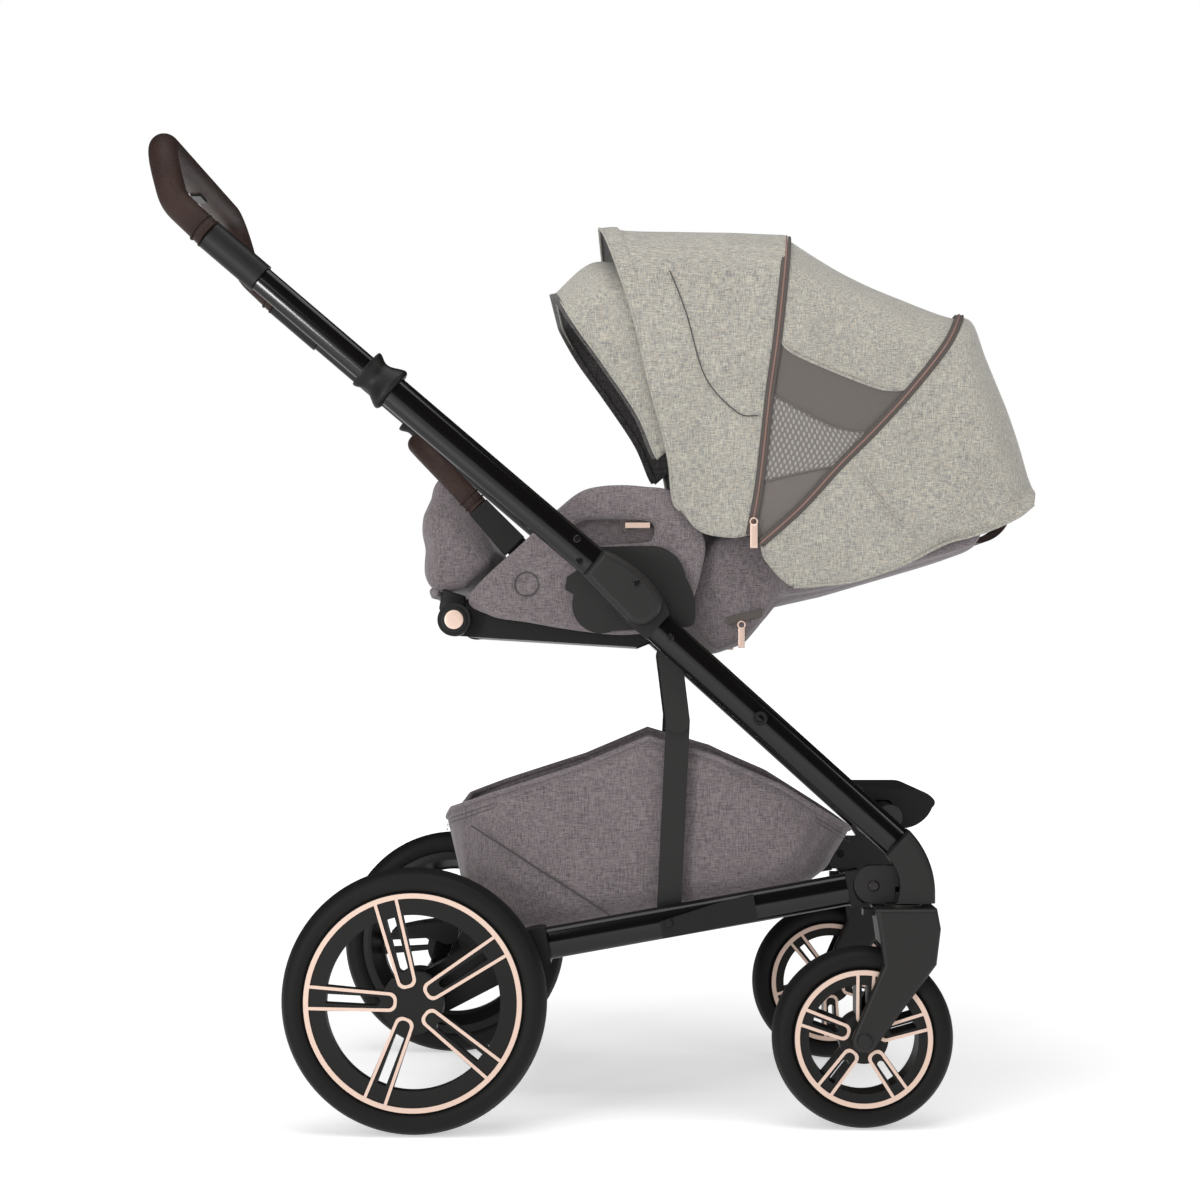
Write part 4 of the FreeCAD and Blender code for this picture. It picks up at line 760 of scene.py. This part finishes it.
for word, sign in SIDES.items():
    parts = (("band", ZIP_FRONT[2:4], ZIP_REAR[3:5], MESH_TOP, WINDOW_TOP, window_band),
             ("mesh", ZIP_FRONT[1:3], ZIP_REAR[2:4], MESH_FOOT, MESH_TOP, window_mesh),
             ("foot", ZIP_FRONT[:2], ZIP_REAR[:3], np.array([ZIP_FRONT[0], ZIP_REAR[0]]), MESH_FOOT,
              window_foot))
    for label, first, last, base, top, material in parts:
        piece = middle(side_sheet(f"canopy_window_{label}_{word}", first, last, base, top, sign,
                                  material, HALF - 0.0006, 0.002))
        cloth(piece, "stretched", rests_on=["canopy_middle_panel"])
    for label, line in (("window", WINDOW_TOP), ("mesh", MESH_TOP), ("foot", MESH_FOOT)):
        path = in_side_view(smooth(line, 60), sign * (HALF + 0.0004))
        colour = canopy_cloth if label == "window" else window_foot
        middle(rod(f"canopy_{label}_piping_{word}", path, 0.0016 if label == "window" else 0.0009,
                   (0, 1, 0), colour, 8))

# %% [markdown]
# The rear panel closes the canopy behind the head. Its hoop stands still on the backrest, and its
# lower edge follows the backrest's side. A vent flap lies over it, with a cord piped round its rim.

# %% Rear panel
REAR_END = 0.172      # half width at the panel's far end
rear_half = np.interp(np.linspace(0, 1, 60), [0, 0.55, 1], [HALF, HALF, REAR_END])
rear_last = np.array([REAR_BASE[-1], (REAR_BASE[-1] + REAR_TOP[-1]) / 2 + 0.001, REAR_TOP[-1]])
rear_panel = thicken(grid_piece("canopy_rear_panel", arch(
    ZIP_REAR, rear_last, REAR_BASE, REAR_TOP, rear_half, SHOULDER, 60, 181, 0.002, 0.0007),
    canopy_cloth), 0.0014, 1, lining)
fit(rear_panel, "backrest", "canopy_cloth", "canopy_rear")
cloth(rear_panel, "stretched", rests_on=["backrest_pad"])
hem_line = smooth(REAR_BASE[2:], 120)
for word, sign in SIDES.items():
    y = np.interp(np.linspace(0, 1, 120), [0, 0.5, 1], [HALF, HALF - 0.001, REAR_END])
    line = in_side_view(hem_line, sign * (y + 0.0004))
    fit(rod(f"canopy_rear_hem_{word}", line, 0.0016, (0, 1, 0), canopy_cloth, 8), "backrest",
        "canopy_cloth")
    for k, points in enumerate((((286, 744), (348, 666)), ((449, 688), (484, 696)))):
        line = in_side_view(evenly(np.array(points) / 1000, 40), sign * (HALF + 0.0012 - 0.013 * k))
        fit(rod(f"canopy_rear_seam_{k}_{word}", line, 0.0008, (0, 1, 0), seam_light, 6), "backrest",
            "canopy_cloth")

# %% Rolled vent flap across the back
flap_line = np.array([(415, 900), (432, 899), (448, 866), (458, 830), (476, 790), (482, 766)]) / 1000
flap_side = smooth(flap_line, 60)
across_back = np.linspace(-0.150, 0.150, 61)
grid = np.stack(np.broadcast_arrays(flap_side[:, None, 0], across_back[None],
                                    flap_side[:, None, 1]), -1)
grid[..., 0] -= 0.020 * (np.abs(across_back) / 0.150)[None] ** 4
flap = thicken(grid_piece("canopy_vent_flap", grid, canopy_cloth), 0.003, 0, canopy_cloth)
fit(flap, "backrest", "canopy_cloth")
cloth(flap, "stretched", rests_on=["canopy_rear_panel"])
rim_loop = np.concatenate([grid[:, 0], grid[-1, 1:-1], grid[::-1, -1], grid[0, -2:0:-1]])
fit(rod("canopy_vent_piping", rim_loop, 0.0020, (1, 0, 0.3), seam_dark, 8, closed=True), "backrest",
    "canopy_cloth")

# %% [markdown]
# A zip is a tape, a coil of teeth along its middle and a row of stitches near each edge. All three
# follow the hoop's line. The front one goes with the canopy, the rear one with the backrest.

# %% Zips
coil = moulded("zip_coil", (0.20, 0.115, 0.095), 0.5, 1700, 0.0003)
for label, curve, body in (("front", ZIP_FRONT, "canopy"), ("rear", ZIP_REAR, "backrest")):
    path, across, out = hoop_line(curve)
    fit(band(f"canopy_zip_tape_{label}", path, across, out, 0.0105, 0.0014, tape, 0.0022), body,
        "canopy_cloth")
    teeth = path + out * 0.0031
    fit(rod(f"canopy_zip_coil_{label}", teeth, 0.0012, (1, 0.001, 0), coil, 8), body, "canopy_cloth")
    for edge in (-1, 1):
        fit(stitches(f"canopy_zip_stitch_{label}_{'a' if edge < 0 else 'b'}",
                     path + across * edge * 0.0042 + out * 0.0030, out, seam_dark), body, "canopy_cloth")


def pull_tag(name, top, body, drop=0.030, width=0.0085):
    """Zip pull: a ring on the slider and a flat tag with rounded ends."""
    x, y, z = top
    side = np.sign(y)
    angle = np.linspace(0, 2 * np.pi, 24, endpoint=False)
    ring = np.stack([x + 0.004 * np.cos(angle), 0 * angle + y + side * 0.004,
                     z + 0.004 * np.sin(angle)], 1)
    fit(rod(f"{name}_ring", ring, 0.0009, (0, 1, 0), copper, 8, closed=True), body, "copper_trim")
    line = np.stack([np.full(12, x), np.full(12, y + side * 0.004),
                     np.linspace(z - 0.003, z - drop, 12)], 1)
    fit(band(f"{name}_tag", line, np.tile([1.0, 0, 0], (12, 1)), np.tile([0, side, 0], (12, 1)), width,
             0.0018, copper), body, "copper_trim")


for word, sign in SIDES.items():
    pull_tag(f"zip_pull_{word}", (CANOPY[0] - 0.001, sign * (HALF + 0.003), CANOPY[1] + 0.022),
             "backrest")


# %% [markdown]
# ## Seat walls
# Each side of the seat is a padded wall sewn round a slot, where the release button is reached. The
# wall is a ring: it runs from the outer outline to the slot and back, thick in between.

# %% Seat walls
WALL = around(HUB, [(-192, 9), (-125, 75), (-89, 109), (-65, 127), (-41, 133), (-14, 134), (10, 132),
                    (29, 130), (47, 122), (61, 102), (72, 80), (76, 61), (70, 31), (64, 10), (51, -25),
                    (-10, -36), (-66, -32), (-126, -22), (-169, -14)])
SLOT = around(HUB, [(-75, 85), (-65, 93), (-54, 95), (-16, 95), (10, 93), (17, 88), (18, 80), (16, 74),
                    (10, 69), (-21, 67), (-57, 66)])


def matched(outer, inner, count):
    """Two closed outlines as lines whose points face each other: each is read by its angle."""
    middle_point = inner.mean(0)
    ring = smooth(outer, count, closed=True)
    hole = smooth(inner, 4 * count, closed=True)
    aim, seen = (np.arctan2(*(line - middle_point).T[::-1]) for line in (ring, hole))
    order = np.argsort(seen)
    facing = [np.interp(aim, seen[order], hole[order, k], period=2 * np.pi) for k in (0, 1)]
    return ring, np.stack(facing, 1)


WALL_Y = 0.1760      # the wall's middle from the seat's middle plane
ring, facing = matched(WALL, SLOT, 200)
turn = np.linspace(0, 2 * np.pi, 48, endpoint=False)
share = ((1 - np.cos(turn)) / 2)[None, :, None]
flat_place = ring[:, None] * (1 - share) + facing[:, None] * share
bulge = np.sign(np.sin(turn)) * np.abs(np.sin(turn)) ** 0.45 * 0.0085
ripple = 0.0007 * np.sin(np.linspace(0, 34 * np.pi, 200))[:, None] * np.abs(np.sin(turn)) ** 2
for word, sign in SIDES.items():
    y = sign * (WALL_Y + bulge[None] + ripple * np.sign(np.sin(turn)))
    grid = np.stack([flat_place[..., 0], y, flat_place[..., 1]], -1)
    wall = grid_piece(f"seat_wall_{word}", grid, seat_cloth, (True, True), closed=True)
    fit(wall, "seat", "seat_cloth", "seat_shell")
    face = sign * (WALL_Y + 0.0090)
    for label, mix in (("edge", 0.06), ("slot", 0.80)):
        line = ring * (1 - mix) + facing * mix
        lift = face if label == "slot" else sign * (WALL_Y + 0.0082)
        fit(stitches(f"seat_wall_stitch_{label}_{word}", in_side_view(line, lift), (0, sign, 0),
                     seam_light, 0.003, 0.002, 0.00035), "seat", "seat_cloth")
    lining_shape = facing + 0.006 * unit(facing - facing.mean(0))
    share_in = np.linspace(1, 0, 8)[None, :, None]
    sheet_place = lining_shape[:, None] * share_in + facing.mean(0) * (1 - share_in)
    grid = np.stack([sheet_place[..., 0], np.full(sheet_place.shape[:2], sign * 0.1690),
                     sheet_place[..., 1]], -1)
    backing = grid_piece(f"seat_wall_slot_lining_{word}", grid, seat_cloth, (True, False))
    fit(thicken(backing, 0.0012, 0), "seat", "seat_cloth")
    round_seam = np.array([-0.078, 0.602]) + 0.0135 * np.stack([np.cos(turn), np.sin(turn)], 1)
    fit(rod(f"seat_wall_button_seam_{word}", in_side_view(round_seam, face), 0.0008, (0, 1, 0),
            seam_dark, 6, closed=True), "seat", "seat_cloth")
print("seat walls:", len(SIDES))


# %% [markdown]
# ## Padded pieces
# Seat pad, calf rest and backrest start as cut profiles, a little small. Each is remeshed evenly and
# blown up with Cloth, so the edges round over and the faces swell the way wadding does.

# %% Profiles
def profile_piece(name, slabs, material, bevel=0.009):
    """Slabs of a side view outline between two values of y, joined in one mesh with round rims."""
    work = bmesh.new()
    for outline, near, far in slabs:
        before = [work.verts.new((x, near, z)) for x, z in np.asarray(outline) / 1000]
        behind = [work.verts.new((x, far, z)) for x, z in np.asarray(outline) / 1000]
        work.faces.new(before)
        work.faces.new(behind[::-1])
        for k in range(len(before)):
            j = (k + 1) % len(before)
            work.faces.new((before[j], before[k], behind[k], behind[j]))
    bmesh.ops.recalc_face_normals(work, faces=work.faces)
    bmesh.ops.triangulate(work, faces=[f for f in work.faces if len(f.verts) > 4])
    mesh = bpy.data.meshes.new(name)
    work.to_mesh(mesh)
    work.free()
    item = mesh_piece(name, mesh, material)
    rim = item.modifiers.new("rim", "BEVEL")
    rim.width, rim.segments, rim.limit_method, rim.angle_limit = bevel, 3, "ANGLE", math.radians(50)
    return item


CALF_SHAPE = [(-181, 591), (-192, 600), (-194, 618), (-193, 645), (-197, 664), (-196, 682),
              (-186, 704), (-184, 726), (-168, 729), (-130, 660), (-116, 628), (-150, 596)]
PAD_SHAPE = [(-140, 552), (-142, 584), (-130, 596), (-110, 596), (0, 588), (22, 584), (22, 541),
             (-60, 546)]
BACK_SHAPE = [(66, 604), (66, 568), (103, 553), (114, 532), (130, 525), (168, 538), (197, 572),
              (206, 584), (277, 600), (442, 648), (446, 672), (300, 634), (150, 612)]
BACK_WIDE = [(206, 588), (277, 604), (438, 651), (442, 670), (300, 634), (206, 618)]
BACK_WING = [(106, 556), (108, 600), (116, 632), (134, 654), (170, 664), (230, 656), (270, 636),
             (277, 604), (206, 588), (190, 566), (165, 540), (132, 527)]
CALF_ARM = [(-176, 598), (-180, 576), (-174, 556), (-160, 551), (-149, 556), (-148, 570),
            (-150, 590)]

print("swelling the padded pieces")
seat_pad = swell(profile_piece("seat_cushion", [(PAD_SHAPE, -0.154, 0.154)], seat_cloth), 0.004)
fit(seat_pad, "seat", "seat_cloth", "seat_pad")
calf = swell(profile_piece("calf_rest_pad", [(CALF_SHAPE, -0.154, 0.154)], seat_cloth), 0.005)
fit(calf, "calf_rest", "seat_cloth", "calf_rest")
back = swell(profile_piece("backrest_pad", [
    (BACK_SHAPE, -0.143, 0.143), (BACK_WIDE, -0.181, 0.181), (BACK_WING, -0.161, -0.135),
    (BACK_WING, 0.135, 0.161)], seat_cloth), 0.004)
fit(back, "backrest", "seat_cloth", "backrest")
for word, sign in SIDES.items():
    pull_tag(f"backrest_pull_{word}", (0.166, sign * 0.164, 0.556), "backrest", 0.026, 0.0075)
    line = in_side_view(evenly(np.array([(0.150, 0.560), (0.190, 0.570)]), 30), sign * 0.1635)
    fit(band(f"backrest_zip_{word}", line, np.tile([0, 0, 1.0], (30, 1)),
             np.tile([0, sign * 1.0, 0], (30, 1)), 0.009, 0.002, tape), "backrest", "seat_cloth")

# %% [markdown]
# The calf rest hangs from an arm at each side. Its hinge shows as a copper cap in a black rim, which
# are profiles spun round the hinge's axis.

# %% Calf rest arms and caps
for word, sign in SIDES.items():
    arm = profile_piece(f"calf_rest_arm_{word}",
                        [(CALF_ARM, sign * 0.149 - 0.006, sign * 0.149 + 0.006)], satin_black, 0.002)
    fit(arm, "calf_rest", "black_plastic")
    for label, radius, inner, outer, material, slot in (
            ("rim", 0.0150, 0.1895, 0.1915, satin_black, "black_plastic"),
            ("cap", 0.0108, 0.1900, 0.1930, copper, "copper_trim")):
        angle = np.linspace(0, 2 * np.pi, 48, endpoint=False)
        size = radius * np.array([0, 0.85, 0.95, 1, 1, 0.96, 0.86, 0.5, 0])[:, None]
        deep = np.array([0, 0, 0.02, 0.1, 0.8, 0.92, 0.98, 1, 1])[:, None] * (outer - inner) + inner
        grid = np.stack([CALF[0] + size * np.cos(angle), sign * (deep + 0 * angle),
                         CALF[1] + size * np.sin(angle)], -1)
        fit(grid_piece(f"calf_rest_{label}_{word}", grid, material, (False, True), closed=True),
            "calf_rest", slot)

# %% [markdown]
# ## Leather cuffs and seams
# Leather is sewn round the tube and ends in a turned cuff. Two thin rods round the tube and a row of
# stitches between them show it, set square to the tube where the cover stops.

# %% Leather cuffs
def cuff(name, centre, along, radius, body, width=0.011):
    """Two rings and a row of stitches round a tube: centre, its direction, and how far out."""
    along = unit(np.asarray(along, float))
    aside = unit(np.cross(along, (0, 1, 0)))
    angle = np.linspace(0, 2 * np.pi, 49)[:-1, None]
    circle = np.cos(angle) * aside + np.sin(angle) * np.cross(along, aside)
    for k, shift in enumerate((0.0, width)):
        ring_path = np.asarray(centre) + along * shift + circle * (radius + 0.0003)
        fit(rod(f"{name}_ring_{k}", ring_path, 0.0012, along, leather, 8, closed=True), body,
            "leather")
    loop = np.asarray(centre) + along * width / 2 + circle * (radius + 0.0006)
    loop = np.concatenate([loop, loop[:1]])
    out = np.concatenate([circle, circle[:1]])
    fit(stitches(f"{name}_stitch", loop, out, seam_dark, 0.0028, 0.0018, 0.0004), body, "leather")


ARM_SLOPE = math.radians(40.6)
GRIP_START = 0.6305      # along the arm, from the hub to where the leather begins
arm_way = np.array([-math.cos(ARM_SLOPE), 0, math.sin(ARM_SLOPE)])
for word, sign in SIDES.items():
    start = np.array([HUB[0], sign * 0.246, HUB[1]]) + arm_way * GRIP_START
    cuff(f"handle_cuff_{word}", start, arm_way, 0.0165, "handle")
    bar_start = np.array([-0.134, sign * 0.172, 0.691])
    bar_way = unit(np.array([-0.208, sign * 0.172, 0.768]) - bar_start)
    cuff(f"bumper_cuff_{word}", bar_start + bar_way * 0.006, bar_way, 0.012, "bumper_bar", 0.009)

# %% Calf rest seams and gathered lower edge
calf_seam = smooth(np.array([(-178, 600), (-176, 640), (-178, 680), (-172, 716)]) / 1000, 80)
for word, sign in SIDES.items():
    line = in_side_view(calf_seam, sign * 0.1600)
    for k, shift in enumerate((-0.0016, 0.0016)):
        fit(stitches(f"calf_rest_stitch_{k}_{word}", line + np.array([shift, 0, 0]), (0, sign, 0),
                     seam_dark, 0.0030, 0.0020, 0.0004), "calf_rest", "seat_cloth")
along_y = np.linspace(-0.150, 0.150, 240)
frill = np.stack([-0.186 + 0.0035 * np.sin(along_y * 330) + 0.002 * np.sin(along_y * 131), along_y,
                  0.594 + 0.002 * np.sin(along_y * 210)], 1)
fit(rod("calf_rest_frill", frill, 0.0042, (0, 0, 1), seat_cloth, 10), "calf_rest", "seat_cloth")

# %% [markdown]
# ## Basket
# The basket is one bag. Its rim is high at the hub and low at both ends. A loop runs round the rim,
# goes down the wall, rounds the bottom corner and closes in the middle of the floor, which sags.

# %% Basket
RIM = np.array([(-177, 328), (-165, 346), (-121, 362), (-15, 396), (41, 421), (70, 432), (97, 426),
                (147, 400), (209, 373), (293, 320), (296, 312)]) / 1000
FLOOR = np.array([(-152, 216), (-140, 212), (-71, 210), (100, 236), (230, 258), (271, 278)]) / 1000
MIDDLE_X, RIM_HALF, FLOOR_HALF, HALF_WIDE = 0.0595, 0.2335, 0.2060, 0.1845
theta = np.linspace(0, 2 * np.pi, 240, endpoint=False)


def squared(value):
    """Circle coordinate pushed outwards to that of a rounded rectangle: sign v times |v| ** 0.30."""
    return np.sign(value) * np.abs(value) ** 0.30


def hung(item, *replaced):
    """Basket piece: it rides on the rear frame, with a mesh of its own."""
    fit(item, "rear_frame", "seat_cloth", *replaced)
    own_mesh(item)


long_way, wide_way = squared(np.cos(theta)), squared(np.sin(theta))
inset = np.concatenate([np.zeros(12), 0.10 * (1 - np.cos(np.linspace(0, np.pi / 2, 8))),
                        np.linspace(0.14, 1, 20)])
fall = np.concatenate([np.linspace(0, 0.84, 12), 0.84 + 0.16 * np.sin(np.linspace(0, np.pi / 2, 8)),
                       np.ones(20)])
rim_x = MIDDLE_X + RIM_HALF * long_way
floor_x = MIDDLE_X + FLOOR_HALF * long_way
rim_z = np.interp(rim_x, RIM[:, 0], RIM[:, 1])[:, None]
x = rim_x[:, None] * (1 - fall) + floor_x[:, None] * fall
x = (x - MIDDLE_X) * (1 - inset) + MIDDLE_X
floor_z = np.interp(x, FLOOR[:, 0], FLOOR[:, 1])
lean = 0.004 * np.sin(np.pi * fall) * (1 - inset)
wrinkle = 0.0018 * np.sin(9 * theta)[:, None] * np.sin(np.pi * fall) + 0.0013 * np.sin(
    23 * theta[:, None] + 7 * fall) * np.sin(np.pi * fall) ** 0.5
y = wide_way[:, None] * (HALF_WIDE + lean + wrinkle) * (1 - inset)
z = rim_z * (1 - fall) + floor_z * fall - 0.006 * np.sin(np.pi * np.clip(inset, 0, 1) / 2)
basket = thicken(grid_piece("basket_bag", np.stack([x, y, z], -1), seat_cloth, (True, False),
                            closed=True), 0.0022, 0)
hung(basket, "basket")
cloth(basket, "hung", rests_on=["side_rail_right", "side_rail_left"])
rim_line = np.stack([x[:, 0], y[:, 0], z[:, 0]], 1)
hung(rod("basket_rim_hem", rim_line, 0.0034, (0, 0, 1), seat_cloth, 10, closed=True))
wall_out = unit(np.stack([0.3 * np.cos(theta), np.sin(theta), 0 * theta], 1))
for k, depth in enumerate((0.010, 0.015)):
    line = rim_line - np.array([0, 0, depth]) + wall_out * 0.0018
    hung(stitches(f"basket_hem_stitch_{k}", np.concatenate([line, line[:1]]),
                  np.concatenate([wall_out, wall_out[:1]]), seam_dark, 0.0034, 0.0022, 0.00045))
for word, sign in SIDES.items():
    seam = in_side_view(evenly(np.array([(-158, 341), (16, 229)]) / 1000, 80), sign * 0.1905)
    hung(rod(f"basket_seam_{word}", seam[seam[:, 2] < 0.330], 0.0010, (0, 1, 0), seam_dark, 6))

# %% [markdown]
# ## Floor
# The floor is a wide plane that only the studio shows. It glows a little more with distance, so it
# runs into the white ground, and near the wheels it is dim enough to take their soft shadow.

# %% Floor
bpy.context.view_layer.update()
bpy.ops.mesh.primitive_plane_add(size=400)
floor = bpy.context.object
floor.name = "studio_floor"
floor_material = moulded("studio_floor", (0.80, 0.80, 0.80), 0.8, 200, 0.00002, 0.02,
                         Specular_IOR_Level=0.1, Emission_Color=(1, 1, 1, 1), Emission_Strength=0.80)
tree = floor_material.node_tree
reach = node(tree, "VectorMath", {0: place_of(tree)}, operation="LENGTH").outputs["Value"]
glow = node(tree, "MapRange", {0: reach, 1: 0.6, 2: 3.5, 3: 0.50, 4: 1.0})
tree.links.new(glow.outputs[0], tree.nodes["Principled BSDF"].inputs["Emission Strength"])
floor.data.materials.append(floor_material)
